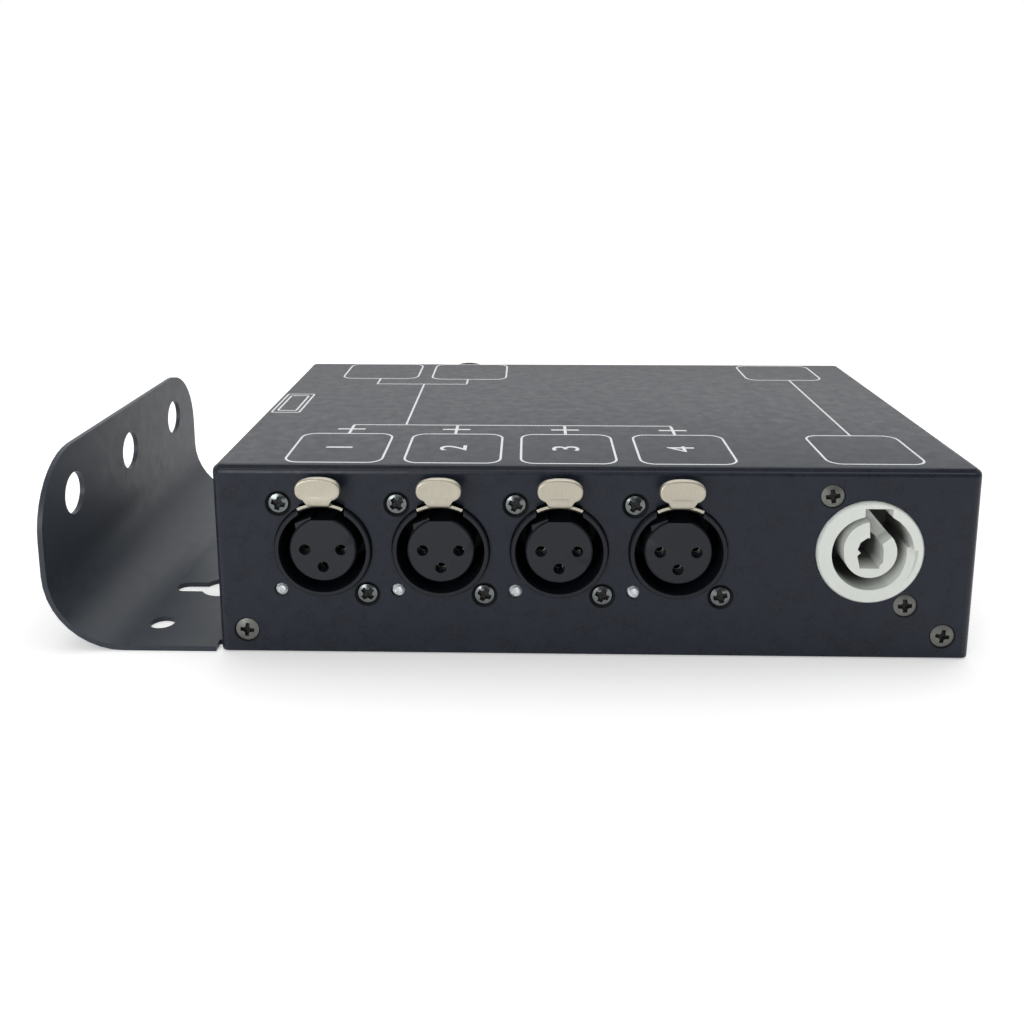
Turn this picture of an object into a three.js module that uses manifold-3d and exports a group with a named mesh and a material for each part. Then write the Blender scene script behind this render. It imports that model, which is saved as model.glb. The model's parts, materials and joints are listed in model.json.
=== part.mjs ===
// DMX splitter: one control line in and through at the back, four outputs at the front,
// a mains inlet and outlet, and a hanging bracket bent up out of the base plate.
// Millimetres, +Z up. X runs along the row of outputs and Y from the front panel to the back.
// The origin is the middle of the box's footprint, on the underside of the base plate.

import * as THREE from 'three';
import { mergeVertices } from 'three/addons/utils/BufferGeometryUtils.js';
import Module from 'manifold-3d';

const wasm = await Module();
wasm.setup();

// Clearances
const overrun = 1; // how far a cutting tool runs past the face that it opens
const fitGap = 0.2; // between a fixed piece and its seat or hole
const runGap = 0.3; // round a piece that moves
const weldGap = 1e-5; // corners nearer than this are one

// Folded steel cover: lid and four walls, open below
const cover = {
  width: 166,
  depth: 103.4,
  height: 43.5,
  sheet: 1.2,
  lidBend: 0.5,
  cornerBend: 0.9,
  footGap: 0.3,
};

// Base plate: a tray under the cover, with one side carried on as the hanging bracket
const base = {
  sheet: 1.2,
  bend: 0.6,
  rootLap: 6,
  reliefWidth: 1,
  flangeGap: 0.5,
};
const bracket = {
  reach: 39.3,
  height: 43,
  rearInset: 3.2,
  bendRadius: 17.5,
  cornerRadius: 17.5,
  holeDiameter: 10,
  holeHeight: 31,
  holePitch: 33.2,
  holeCount: 3,
};
const screwHole = { diameter: 5.9, sideInset: 17.1, endInset: 11.2 };
const keyhole = { headDiameter: 10.2, slotWidth: 5, slotLength: 9.2, sideInset: 8.6, endInset: 30.3 };

// Sockets for the control line, drawn from the middle of their panel opening
const outputs = { count: 4, sideInset: 23.95, rise: 2.8 }; // above the panel's middle
const rearRaise = 0.8;
const housing = {
  noseDiameter: 21.2,
  noseProud: 1.2,
  noseWall: 1,
  noseEdge: 0.25,
  sideWall: 1.6,
  neighbourGap: 1.43,
  depth: 20,
  boreDepth: 17,
  boardGap: 2.6,
};
const socketScrew = { acrossInset: 1.1, upInset: 0.2, bossMargin: 2 }; // in from the nose's rim
const insert = {
  ringGap: 2.3,
  proud: 0.5,
  edge: 0.3,
  keywayWidth: 4.8,
  keywayDepth: 0.9,
  ribPeak: 1.1,
  ribTail: 0.4,
};
const ribAngles = { root: 143, peak: 136, tail: 109, end: 106 }; // degrees round the insert
const contact = { circleDiameter: 7.94, holeDiameter: 2.55, holeDepth: 12, pinDiameter: 2.35 };
const contactAngles = [180, 0, 270];

// Latch over each female socket: a cast tab and a curved lever that turns on two pins
const latch = {
  tabWidth: 9.7,
  tabHeight: 5.7,
  tabThickness: 1.5,
  tabRim: 0.45,
  tabRise: 1.6, // from the lever's crown to the tab's foot
  tabFace: 4.3,
  neckWidth: 4.8,
  leverWidth: 9.4,
  leverThickness: 0.8,
  leverFront: 2,
  pivotBack: 5.6,
  pivotRise: 0.4,
  barrelDiameter: 2.2,
  pinDiameter: 1.6,
  pinReach: 1.2,
  hookFront: 0.6,
  hookLength: 1.8,
  hookWidth: 4,
  hookDip: 0.6,
  pocketLength: 7.6,
  slotRise: 1.9,
};
const latchSpring = { width: 4, thickness: 0.4, footLength: 6, tipBack: 2.8, tipCurl: 1, liftGap: 0.95 };

// Male socket for the incoming line
const inputSocket = {
  cavityDiameter: 16.2,
  keyWidth: 2.2,
  keyHeight: 0.8,
  insertThickness: 3,
  pinSetback: 3,
};

// Indicator under the left of each output
const lamp = { diameter: 2.9, inset: 1, proud: 0.9, bodyDepth: 6 }; // in from the nose's rim
const lampLeg = { thickness: 0.5, spacing: 2 };

// Twist-lock mains sockets
const mains = { sideInset: 23.4, rise: 3.15, screwAcross: 8.5, screwUp: 12.5 };
const mainsSocket = {
  ringDiameter: 22.9,
  ringProud: 1,
  ringEdge: 0.35,
  cavityDiameter: 16.8,
  cavityDepth: 16,
  bodyDepth: 22,
  flangeWidth: 24,
  flangeThickness: 2.8,
  flangeMargin: 2.75,
  keyWidth: 5.9,
  keyShift: 1.2,
  keyHeight: 10.1,
  pocketRadius: 9.2,
  rampRadius: 10,
  rampDepth: 2.2,
  rampStart: 0.8,
  rampLength: 8,
};
const pocketAngles = { start: 4, end: 75 }; // degrees round the ring
const mainsPost = {
  diameter: 11.4,
  swell: 1.4,
  setback: 0.3,
  boreWidth: 5.6,
  boreHeight: 7.1,
  boreDepth: 12,
  toothWidth: 0.7,
  gapDepth: 3.9,
  webWidth: 1.9,
  webLength: 7.4,
};
const postAngles = { tangent: 40, gapEnd: 95, swellEnd: 180, step: 12 }; // degrees round the post

// Raised countersunk screws
const socketScrewSize = { headDiameter: 4.4, holeDiameter: 5.3, shank: 2.5, length: 8 };
const mainsScrewSize = { headDiameter: 4.95, holeDiameter: 5.4, shank: 2.9, length: 4.6 };
const coverScrewSize = { headDiameter: 4.8, holeDiameter: 5.8, shank: 2.9, length: 6 };
const screwHead = {
  coneHeight: 1,
  rise: 0.25,
  recessWidth: 0.75,
  recessLength: 2.5,
  recessDepth: 0.9,
};
const coverScrewInset = 6.3; // from each side wall's outside
const coverScrewHeightShare = 0.58; // of the flange height

// Parts inside the box
const board = { thickness: 1.6, edgeInset: 5.2, sideGap: 4 };
const boardChip = { width: 7.6, length: 9.8, height: 3, count: 4, pitch: 14.5 };
const standoff = { diameter: 6, pinDiameter: 3, pinHeight: 3.4, inset: 7 };
const converter = { width: 46, length: 27, height: 16, edge: 1.2 };
const link = { diameter: 6, bow: 7, seatGap: 0.3 };

// Faces on round surfaces
const wideSides = 28; // sockets
const smallSides = 10; // lamps and contacts
const screwSides = 8;
const linkSteps = 8;
const domeRings = 3;
const bendSegments = 4; // each fold of the sheet has twice as many facets
const circleSegments = 5; // each drilled or rounded outline, the same

// Places that follow from the sizes above
const frontFace = -cover.depth / 2;
const leftFace = -cover.width / 2;
const rightFace = cover.width / 2;
const bracketLength = cover.depth - bracket.rearInset;
const noseRadius = housing.noseDiameter / 2;
const housingWidth = housing.noseDiameter + 2 * housing.sideWall;
const socketPitch = housingWidth + housing.neighbourGap;
const boardDrop = noseRadius + housing.boardGap;
const screwAcross = noseRadius - socketScrew.acrossInset;
const screwUp = noseRadius - socketScrew.upInset;
const lampInset = noseRadius - lamp.inset;
const outputHeight = cover.height / 2 + outputs.rise;
const rearHeight = outputHeight + rearRaise;
const mainsHeight = cover.height / 2 + mains.rise;
const mainsX = rightFace - mains.sideInset;
const boardTop = outputHeight - boardDrop;
const boardBottom = boardTop - board.thickness;
const flangeTop = boardBottom - base.flangeGap;
const coverScrewHeight = flangeTop * coverScrewHeightShare;
const housingFront = cover.sheet + fitGap;
const boreRadius = noseRadius - housing.noseWall;
const insertRadius = boreRadius - insert.ringGap;
const leverInner = boreRadius + runGap;
const leverOuter = leverInner + latch.leverThickness;
const pocketWidth = latch.leverWidth + 2 * runGap;
const tabFoot = leverOuter + latch.tabRise;
const tabTop = tabFoot + latch.tabHeight;
const pivotUp = leverOuter + latch.pivotRise;
const slotTop = leverOuter + latch.slotRise;

const steelPaint = { color: 0x53575a, roughness: 0.55, metalness: 0.25 };
const darkPaint = { color: 0x3a3e42, roughness: 0.5, metalness: 0.25 };
const blackPlastic = { color: 0x1c1f21, roughness: 0.5, metalness: 0 };
const insertPlastic = { color: 0x2b2f31, roughness: 0.55, metalness: 0 };
const nickel = { color: 0xcdc6b2, roughness: 0.3, metalness: 0.9 };
const zinc = { color: 0x9da19f, roughness: 0.35, metalness: 0.9 };
const greyZinc = { color: 0x66645f, roughness: 0.5, metalness: 0.7 };
const clearLens = { color: 0xdde2e2, roughness: 0.15, metalness: 0 };
const palePlastic = { color: 0xd2d6cf, roughness: 0.45, metalness: 0 };
const bluePlastic = { color: 0x2f5fa8, roughness: 0.45, metalness: 0 };
const boardLacquer = { color: 0x1f5a3a, roughness: 0.5, metalness: 0 };
const silverPin = { color: 0xd6d6d2, roughness: 0.25, metalness: 0.9 };
const pillarNylon = { color: 0xe6e4dc, roughness: 0.6, metalness: 0 };

const group = new THREE.Group();

// Solids: a closed geometry becomes a manifold, and a manifold a geometry

function solidOf(geometry) {
  const bare = geometry.clone();
  bare.deleteAttribute('normal');
  bare.deleteAttribute('uv');
  const merged = mergeVertices(bare, weldGap);
  const corners = merged.attributes.position;
  const faces = [];
  for (let i = 0; i < merged.index.count; i += 3) {
    const [a, b, c] = [0, 1, 2].map((k) => merged.index.getX(i + k));
    if (a !== b && b !== c && c !== a) faces.push([a, b, c]);
  }
  const point = (i) => new THREE.Vector3().fromBufferAttribute(corners, i);
  const volume = faces.reduce((sum, [a, b, c]) => sum + point(a).dot(point(b).cross(point(c))), 0);
  const triVerts = new Uint32Array(faces.flatMap(([a, b, c]) => (volume < 0 ? [a, c, b] : [a, b, c])));
  const vertProperties = new Float32Array(corners.array);
  return new wasm.Manifold(new wasm.Mesh({ numProp: 3, vertProperties, triVerts }));
}

function joined(first, ...others) {
  return others.reduce((body, other) => body.add(other), first);
}

function cut(body, ...tools) {
  return tools.reduce((rest, tool) => rest.subtract(tool), body);
}

function addPiece(name, body, look, place = { x: 0, y: 0, z: 0, turn: 0 }) {
  const { vertProperties, triVerts } = body.getMesh();
  const geometry = new THREE.BufferGeometry();
  geometry.setAttribute('position', new THREE.BufferAttribute(new Float32Array(vertProperties), 3));
  geometry.setIndex(new THREE.BufferAttribute(new Uint32Array(triVerts), 1));
  geometry.computeVertexNormals();
  const mesh = new THREE.Mesh(geometry, new THREE.MeshStandardMaterial(look));
  mesh.name = name;
  mesh.position.set(place.x, place.y, place.z);
  mesh.rotation.z = place.turn;
  group.add(mesh);
}

// Places on the panels. Y of a socket's own frame points into the box.

function onFront(x, z) {
  return { x, y: frontFace, z, turn: 0 };
}

function onRear(x, z) {
  return { x, y: -frontFace, z, turn: Math.PI };
}

function placed(geometry, place) {
  return geometry.rotateZ(place.turn).translate(place.x, place.y, place.z);
}

// Basic shapes

function blockShape(x0, x1, y0, y1, z0, z1) {
  const block = new THREE.BoxGeometry(x1 - x0, y1 - y0, z1 - z0);
  return block.translate((x0 + x1) / 2, (y0 + y1) / 2, (z0 + z1) / 2);
}

function block(x0, x1, y0, y1, z0, z1) {
  return solidOf(blockShape(x0, x1, y0, y1, z0, z1));
}

// Turns a profile of [radius, y] points about the Y axis; it starts and ends on the axis
function turnedShape(profile, sides) {
  return new THREE.LatheGeometry(profile.map(([r, y]) => new THREE.Vector2(r, y)), sides);
}

function turned(profile, sides) {
  return solidOf(turnedShape(profile, sides));
}

function rodShape(radius, y0, y1, sides) {
  return turnedShape([[0, y0], [radius, y0], [radius, y1], [0, y1]], sides);
}

function rod(radius, y0, y1, sides, x = 0, z = 0) {
  return solidOf(rodShape(radius, y0, y1, sides).translate(x, 0, z));
}

// Carries an outline in X and Z along Y
function alongY(shape, y0, y1, curveSegments = circleSegments) {
  const body = new THREE.ExtrudeGeometry(shape, { depth: y1 - y0, bevelEnabled: false, curveSegments });
  return body.rotateX(Math.PI / 2).translate(0, y1, 0);
}

// Carries an outline in Y and Z along X
function alongX(shape, x0, x1, curveSegments = circleSegments) {
  const body = new THREE.ExtrudeGeometry(shape, { depth: x1 - x0, bevelEnabled: false, curveSegments });
  const turn = new THREE.Matrix4().makeBasis(
    new THREE.Vector3(0, 1, 0),
    new THREE.Vector3(0, 0, 1),
    new THREE.Vector3(1, 0, 0),
  );
  return body.applyMatrix4(turn).translate(x0, 0, 0);
}

function alongZ(shape, z0, z1, curveSegments = circleSegments) {
  const body = new THREE.ExtrudeGeometry(shape, { depth: z1 - z0, bevelEnabled: false, curveSegments });
  return body.translate(0, 0, z0);
}

function outline(points) {
  return new THREE.Shape(points.map(([u, v]) => new THREE.Vector2(u, v)));
}

function roundedRectangle(width, height, radius) {
  const [x, y] = [width / 2, height / 2];
  const shape = new THREE.Shape();
  shape.moveTo(-x + radius, -y);
  shape.lineTo(x - radius, -y);
  shape.absarc(x - radius, -y + radius, radius, -Math.PI / 2, 0);
  shape.lineTo(x, y - radius);
  shape.absarc(x - radius, y - radius, radius, 0, Math.PI / 2);
  shape.lineTo(-x + radius, y);
  shape.absarc(-x + radius, y - radius, radius, Math.PI / 2, Math.PI);
  shape.lineTo(-x, -y + radius);
  shape.absarc(-x + radius, -y + radius, radius, Math.PI, 1.5 * Math.PI);
  return shape;
}

function circleShape(u, v, radius) {
  return new THREE.Shape().absarc(u, v, radius, 0, 2 * Math.PI);
}

// A band between two radii over an arc, as an outline round the origin
function arcBand(inner, outer, startAngle, endAngle) {
  const shape = new THREE.Shape();
  shape.absarc(0, 0, outer, startAngle, endAngle, false);
  shape.absarc(0, 0, inner, endAngle, startAngle, true);
  shape.closePath();
  return shape;
}

function radians(degrees) {
  return THREE.MathUtils.degToRad(degrees);
}

function polar(radius, degrees) {
  return [radius * Math.cos(radians(degrees)), radius * Math.sin(radians(degrees))];
}

// Cover

function foldedShell(width, depth, top, lidRadius, cornerRadius) {
  const height = top - cover.footGap;
  const plan = roundedRectangle(width - 2 * lidRadius, depth - 2 * lidRadius, cornerRadius - lidRadius);
  const shell = new THREE.ExtrudeGeometry(plan, {
    depth: height,
    bevelThickness: lidRadius,
    bevelSize: lidRadius,
    bevelSegments: bendSegments,
    curveSegments: bendSegments / 2,
  });
  return solidOf(shell.translate(0, 0, top - lidRadius - height));
}

function screwHoleInPanel(size, x, z, place) {
  const profile = [
    [0, -overrun],
    [size.holeDiameter / 2, -overrun],
    [size.holeDiameter / 2, 0],
    [size.shank / 2 + fitGap, cover.sheet],
    [size.shank / 2 + fitGap, cover.sheet + overrun],
    [0, cover.sheet + overrun],
  ];
  return solidOf(placed(turnedShape(profile, screwSides).translate(x, 0, z), place));
}

function panelHole(radius, place, x = 0, z = 0, sides = wideSides) {
  const hole = rodShape(radius, -overrun, cover.sheet + overrun, sides);
  return solidOf(placed(hole.translate(x, 0, z), place));
}

function socketScrewPlaces() {
  return [[-screwAcross, screwUp], [screwAcross, -screwUp]];
}

function mainsScrewPlaces() {
  return [[-mains.screwAcross, mains.screwUp], [mains.screwAcross, -mains.screwUp]];
}

function socketOpening(place, hasLatch) {
  const tools = [panelHole(noseRadius + fitGap, place)];
  if (hasLatch) {
    const halfSlot = pocketWidth / 2;
    const slot = blockShape(-halfSlot, halfSlot, -overrun, cover.sheet + overrun, boreRadius / 2, slotTop);
    tools.push(solidOf(placed(slot, place)));
  }
  for (const [x, z] of socketScrewPlaces()) tools.push(screwHoleInPanel(socketScrewSize, x, z, place));
  return tools;
}

function mainsOpening(place) {
  const tools = [panelHole(mainsSocket.ringDiameter / 2 + fitGap, place)];
  for (const [x, z] of mainsScrewPlaces()) tools.push(screwHoleInPanel(mainsScrewSize, x, z, place));
  return tools;
}

function coverScrewPlaces() {
  const x = rightFace - coverScrewInset;
  const z = coverScrewHeight;
  return [onFront(-x, z), onFront(x, z), onRear(-x, z), onRear(x, z)];
}

function outputPlaces() {
  const places = [];
  for (let i = 0; i < outputs.count; i += 1) {
    places.push(onFront(leftFace + outputs.sideInset + i * socketPitch, outputHeight));
  }
  return places;
}

const inputPlace = onRear(leftFace + outputs.sideInset, rearHeight);
const thruPlace = onRear(leftFace + outputs.sideInset + socketPitch, rearHeight);
const mainsOutPlace = onFront(mainsX, mainsHeight);
const mainsInPlace = onRear(mainsX, mainsHeight);

function coverBody() {
  const { width, depth, height, sheet, lidBend, cornerBend, footGap } = cover;
  const outer = foldedShell(width, depth, height, lidBend + sheet, cornerBend + sheet);
  const inner = foldedShell(width - 2 * sheet, depth - 2 * sheet, height - sheet, lidBend, cornerBend);
  const below = block(
    leftFace - overrun, rightFace + overrun, frontFace - overrun, -frontFace + overrun, -height, footGap,
  );
  const shell = cut(outer, inner, below);
  const bracketGate = block(
    leftFace - overrun, leftFace + sheet + overrun,
    frontFace - overrun, frontFace + bracketLength + fitGap,
    footGap - overrun, base.sheet + fitGap,
  );
  const tools = [bracketGate, ...socketOpening(inputPlace, false), ...socketOpening(thruPlace, true)];
  for (const place of outputPlaces()) {
    tools.push(...socketOpening(place, true));
    tools.push(panelHole(lamp.diameter / 2 + fitGap, place, -lampInset, -lampInset, smallSides));
  }
  tools.push(...mainsOpening(mainsOutPlace), ...mainsOpening(mainsInPlace));
  for (const place of coverScrewPlaces()) tools.push(screwHoleInPanel(coverScrewSize, 0, 0, place));
  return cut(shell, ...tools);
}

// Base plate and hanging bracket

function trayProfile() {
  const half = cover.depth / 2 - cover.sheet - fitGap;
  const outer = base.bend + base.sheet;
  const inside = half - base.sheet;
  const shape = new THREE.Shape();
  shape.moveTo(-half, flangeTop);
  shape.lineTo(-half, outer);
  shape.absarc(-half + outer, outer, outer, Math.PI, 1.5 * Math.PI);
  shape.lineTo(half - outer, 0);
  shape.absarc(half - outer, outer, outer, 1.5 * Math.PI, 2 * Math.PI);
  shape.lineTo(half, flangeTop);
  shape.lineTo(inside, flangeTop);
  shape.lineTo(inside, outer);
  shape.absarc(half - outer, outer, base.bend, 2 * Math.PI, 1.5 * Math.PI, true);
  shape.lineTo(-half + outer, base.sheet);
  shape.absarc(-half + outer, outer, base.bend, 1.5 * Math.PI, Math.PI, true);
  shape.lineTo(-inside, flangeTop);
  shape.closePath();
  return shape;
}

function bracketProfile() {
  const outside = leftFace - bracket.reach;
  const bendX = outside + bracket.bendRadius;
  const inner = bracket.bendRadius - base.sheet;
  const shape = new THREE.Shape();
  shape.moveTo(outside, bracket.height);
  shape.lineTo(outside, bracket.bendRadius);
  shape.absarc(bendX, bracket.bendRadius, bracket.bendRadius, Math.PI, 1.5 * Math.PI);
  shape.lineTo(leftFace - base.reliefWidth, 0);
  shape.lineTo(leftFace - base.reliefWidth, base.sheet);
  shape.lineTo(bendX, base.sheet);
  shape.absarc(bendX, bracket.bendRadius, inner, 1.5 * Math.PI, Math.PI, true);
  shape.lineTo(outside + base.sheet, bracket.height);
  shape.closePath();
  return shape;
}

function bracketSideView() {
  const [front, rear] = [frontFace, frontFace + bracketLength];
  const { height, cornerRadius } = bracket;
  const shape = new THREE.Shape();
  shape.moveTo(front, -overrun);
  shape.lineTo(rear, -overrun);
  shape.lineTo(rear, height - cornerRadius);
  shape.absarc(rear - cornerRadius, height - cornerRadius, cornerRadius, 0, Math.PI / 2);
  shape.lineTo(front + cornerRadius, height);
  shape.absarc(front + cornerRadius, height - cornerRadius, cornerRadius, Math.PI / 2, Math.PI);
  shape.closePath();
  return shape;
}

function clampHoles() {
  const outside = leftFace - bracket.reach;
  const middle = frontFace + bracketLength / 2;
  const holes = [];
  for (let i = 0; i < bracket.holeCount; i += 1) {
    const y = middle + (i - (bracket.holeCount - 1) / 2) * bracket.holePitch;
    const circle = circleShape(y, bracket.holeHeight, bracket.holeDiameter / 2);
    const hole = alongX(circle, outside - overrun, outside + base.sheet + overrun, 2 * circleSegments);
    holes.push(solidOf(hole));
  }
  return holes;
}

function baseHole(x, y, diameter) {
  return solidOf(alongZ(circleShape(x, y, diameter / 2), -overrun, base.sheet + overrun));
}

function keyholeCut(y) {
  const x = leftFace - keyhole.sideInset;
  const half = keyhole.slotWidth / 2;
  const slot = block(x - keyhole.slotLength, x, y - half, y + half, -overrun, base.sheet + overrun);
  const slotEnd = baseHole(x - keyhole.slotLength, y, keyhole.slotWidth);
  return joined(baseHole(x, y, keyhole.headDiameter), slot, slotEnd);
}

function baseBody() {
  const trayHalf = cover.width / 2 - cover.sheet - fitGap;
  const trayDepth = cover.depth - 2 * (cover.sheet + fitGap);
  const trayPlan = roundedRectangle(2 * trayHalf, trayDepth, cover.cornerBend);
  const folded = solidOf(alongX(trayProfile(), -trayHalf, trayHalf, bendSegments / 2));
  const tray = folded.intersect(solidOf(alongZ(trayPlan, 0, flangeTop)));
  const [front, rear] = [frontFace, frontFace + bracketLength];
  const strip = solidOf(alongY(bracketProfile(), front, rear));
  const rounded = solidOf(alongX(bracketSideView(), leftFace - bracket.reach - overrun, leftFace));
  const rootInset = cover.sheet + fitGap + base.sheet + base.bend;
  const root = block(
    leftFace - base.reliefWidth - fitGap, leftFace + base.rootLap,
    front + rootInset, rear - rootInset, 0, base.sheet,
  );
  const holes = clampHoles();
  for (const y of [front + screwHole.endInset, rear - screwHole.endInset]) {
    holes.push(baseHole(leftFace - screwHole.sideInset, y, screwHole.diameter));
  }
  for (const y of [front + keyhole.endInset, rear - keyhole.endInset]) holes.push(keyholeCut(y));
  for (const place of coverScrewPlaces()) {
    const hole = rodShape(coverScrewSize.shank / 2 + fitGap, 0, coverScrewSize.length, screwSides);
    holes.push(solidOf(placed(hole, place)));
  }
  return cut(joined(tray, strip.intersect(rounded), root), ...holes);
}

// Sockets for the control line

function housingBlock(drop) {
  const half = housingWidth / 2;
  const top = screwUp + socketScrew.bossMargin;
  const nose = turned(
    [
      [0, -housing.noseProud],
      [noseRadius - housing.noseEdge, -housing.noseProud],
      [noseRadius, -housing.noseProud + housing.noseEdge],
      [noseRadius, housingFront + overrun],
      [0, housingFront + overrun],
    ],
    wideSides,
  );
  const body = block(-half, half, housingFront, housing.depth, -drop + fitGap, top);
  const threads = socketScrewPlaces().map(([x, z]) =>
    rod(socketScrewSize.shank / 2 + fitGap, 0, socketScrewSize.length + overrun, screwSides, x, z));
  return cut(joined(nose, body), ...threads);
}

function lampCorner(drop) {
  const edge = lampInset - lamp.diameter / 2 - fitGap;
  return block(
    -housingWidth / 2 - overrun, -edge + fitGap,
    0, housing.depth + overrun,
    -drop - overrun, -edge + fitGap,
  );
}

function femaleHousing(drop, hasLamp) {
  const bore = rod(boreRadius, -housing.noseProud - overrun, housing.boreDepth, wideSides);
  const half = pocketWidth / 2;
  const top = screwUp + socketScrew.bossMargin;
  const pocket = block(
    -half, half, -housing.noseProud - overrun, latch.pocketLength, boreRadius / 2, top + overrun,
  );
  const pinHalf = latch.leverWidth / 2 + latch.pinReach + runGap;
  const pinCircle = circleShape(latch.pivotBack, pivotUp, latch.pinDiameter / 2 + runGap);
  const pinHole = solidOf(alongX(pinCircle, -pinHalf, pinHalf));
  const body = cut(housingBlock(drop), bore, pocket, pinHole);
  return hasLamp ? cut(body, lampCorner(drop)) : body;
}

function contactPlaces() {
  return contactAngles.map((angle) => polar(contact.circleDiameter / 2, angle));
}

function femaleInsert() {
  const radius = insertRadius;
  const back = housing.boreDepth - fitGap;
  const core = turned(
    [
      [0, -insert.proud],
      [radius - insert.edge, -insert.proud],
      [radius, insert.edge - insert.proud],
      [radius, back],
      [0, back],
    ],
    wideSides,
  );
  const rib = outline([
    polar(radius / 2, ribAngles.root),
    polar(radius, ribAngles.root),
    polar(radius + insert.ribPeak, ribAngles.peak),
    polar(radius + insert.ribTail, ribAngles.tail),
    polar(radius, ribAngles.end),
    polar(radius / 2, ribAngles.end),
  ]);
  const keyway = block(
    -insert.keywayWidth / 2, insert.keywayWidth / 2, -insert.proud - overrun, back + overrun,
    radius - insert.keywayDepth, radius + overrun,
  );
  const holes = contactPlaces().map(([x, z]) =>
    rod(contact.holeDiameter / 2, -insert.proud - overrun, contact.holeDepth, smallSides, x, z));
  return cut(joined(core, solidOf(alongY(rib, 0, back))), keyway, ...holes);
}

// The tab is wider at its middle than at its ends, like a flattened oval
function tabOutline(inset) {
  const half = latch.tabWidth / 2 - inset;
  const [top, bottom] = [tabTop - inset, tabFoot + inset];
  const middle = (top + bottom) / 2;
  const waist = latch.neckWidth / 2 - inset;
  const shape = new THREE.Shape();
  shape.moveTo(-waist, bottom);
  shape.lineTo(waist, bottom);
  shape.bezierCurveTo(half - inset, bottom, half, (bottom + middle) / 2, half, middle);
  shape.bezierCurveTo(half, top - inset, half / 2, top, 0, top);
  shape.bezierCurveTo(-half / 2, top, -half, top - inset, -half, middle);
  shape.bezierCurveTo(-half, (bottom + middle) / 2, -half + inset, bottom, -waist, bottom);
  return shape;
}

function latchTab() {
  const back = -latch.tabFace + latch.tabThickness;
  const plate = new THREE.ExtrudeGeometry(tabOutline(latch.tabRim), {
    depth: latch.tabThickness - 2 * latch.tabRim,
    bevelThickness: latch.tabRim,
    bevelSize: latch.tabRim,
    bevelSegments: 1,
    curveSegments: bendSegments,
  });
  return solidOf(plate.rotateX(Math.PI / 2).translate(0, back - latch.tabRim, 0));
}

// Neck, in side view, from the tab's foot down and back to the lever's front edge
function latchNeck() {
  const face = -latch.tabFace + latch.tabRim;
  const back = -latch.tabFace + latch.tabThickness;
  const side = outline([
    [face, tabFoot + latch.tabRim],
    [face, tabFoot],
    [-latch.leverFront, leverInner + latch.leverThickness / 2],
    [-latch.leverFront + latch.tabThickness, leverInner + latch.leverThickness / 2],
    [-latch.leverFront + latch.tabThickness, leverOuter],
    [back, tabFoot],
    [back, tabFoot + latch.tabRim],
  ]);
  return solidOf(alongX(side, -latch.neckWidth / 2, latch.neckWidth / 2));
}

function latchLever() {
  const spread = Math.asin(latch.leverWidth / 2 / leverOuter);
  const band = arcBand(leverInner, leverOuter, Math.PI / 2 - spread, Math.PI / 2 + spread);
  return solidOf(alongY(band, -latch.leverFront, latch.pivotBack, bendSegments));
}

function latchPivot() {
  const barrelHalf = latch.leverWidth / 2;
  const pinHalf = barrelHalf + latch.pinReach;
  const barrel = circleShape(latch.pivotBack, pivotUp, latch.barrelDiameter / 2);
  const pin = circleShape(latch.pivotBack, pivotUp, latch.pinDiameter / 2);
  return joined(
    solidOf(alongX(barrel, -barrelHalf, barrelHalf, bendSegments)),
    solidOf(alongX(pin, -pinHalf, pinHalf, bendSegments)),
  );
}

function latchHook() {
  const tip = boreRadius - latch.hookDip;
  const root = leverInner + latch.leverThickness / 2;
  const end = latch.hookFront + latch.hookLength;
  const side = outline([[latch.hookFront, root], [end - latch.hookDip, tip], [end, tip], [end, root]]);
  return solidOf(alongX(side, -latch.hookWidth / 2, latch.hookWidth / 2));
}

function latchBody() {
  return joined(latchTab(), latchNeck(), latchLever(), latchPivot(), latchHook());
}

// Leaf spring on top of the housing: its tip stays clear of the lever through the lever's whole swing
function latchSpringBody() {
  const seat = screwUp + socketScrew.bossMargin + fitGap;
  const start = latch.pocketLength + fitGap;
  const tip = leverOuter + latchSpring.liftGap;
  const { thickness, tipBack, tipCurl } = latchSpring;
  const knee = latch.pivotBack - latch.barrelDiameter / 2;
  const side = outline([
    [start + latchSpring.footLength, seat],
    [knee, seat],
    [tipBack, tip],
    [tipBack - tipCurl, tip + tipCurl / 2],
    [tipBack - tipCurl, tip + tipCurl / 2 + thickness],
    [tipBack, tip + thickness],
    [knee, seat + thickness],
    [start + latchSpring.footLength, seat + thickness],
  ]);
  return solidOf(alongX(side, -latchSpring.width / 2, latchSpring.width / 2));
}

function maleHousing(drop) {
  const radius = inputSocket.cavityDiameter / 2;
  const cavity = rod(radius, -housing.noseProud - overrun, housing.boreDepth, wideSides);
  const key = block(
    -inputSocket.keyWidth / 2, inputSocket.keyWidth / 2, 0, housing.boreDepth - inputSocket.insertThickness,
    radius - inputSocket.keyHeight, radius + fitGap,
  );
  return joined(cut(housingBlock(drop), cavity), key);
}

function maleInsert() {
  const back = housing.boreDepth - fitGap;
  const front = housing.boreDepth - inputSocket.insertThickness + fitGap;
  const disc = rod(inputSocket.cavityDiameter / 2 - fitGap, front, back, wideSides);
  const holes = contactPlaces().map(([x, z]) =>
    rod(contact.pinDiameter / 2 + fitGap, front - overrun, back + overrun, smallSides, x, z));
  return cut(disc, ...holes);
}

function malePin() {
  const radius = contact.pinDiameter / 2;
  const tip = inputSocket.pinSetback;
  const back = housing.boreDepth - fitGap;
  const profile = [[0, tip], [radius / 2, tip], [radius, tip + radius], [radius, back], [0, back]];
  return turned(profile, smallSides);
}

// Indicator lamp with its two legs bent down to the board

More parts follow.
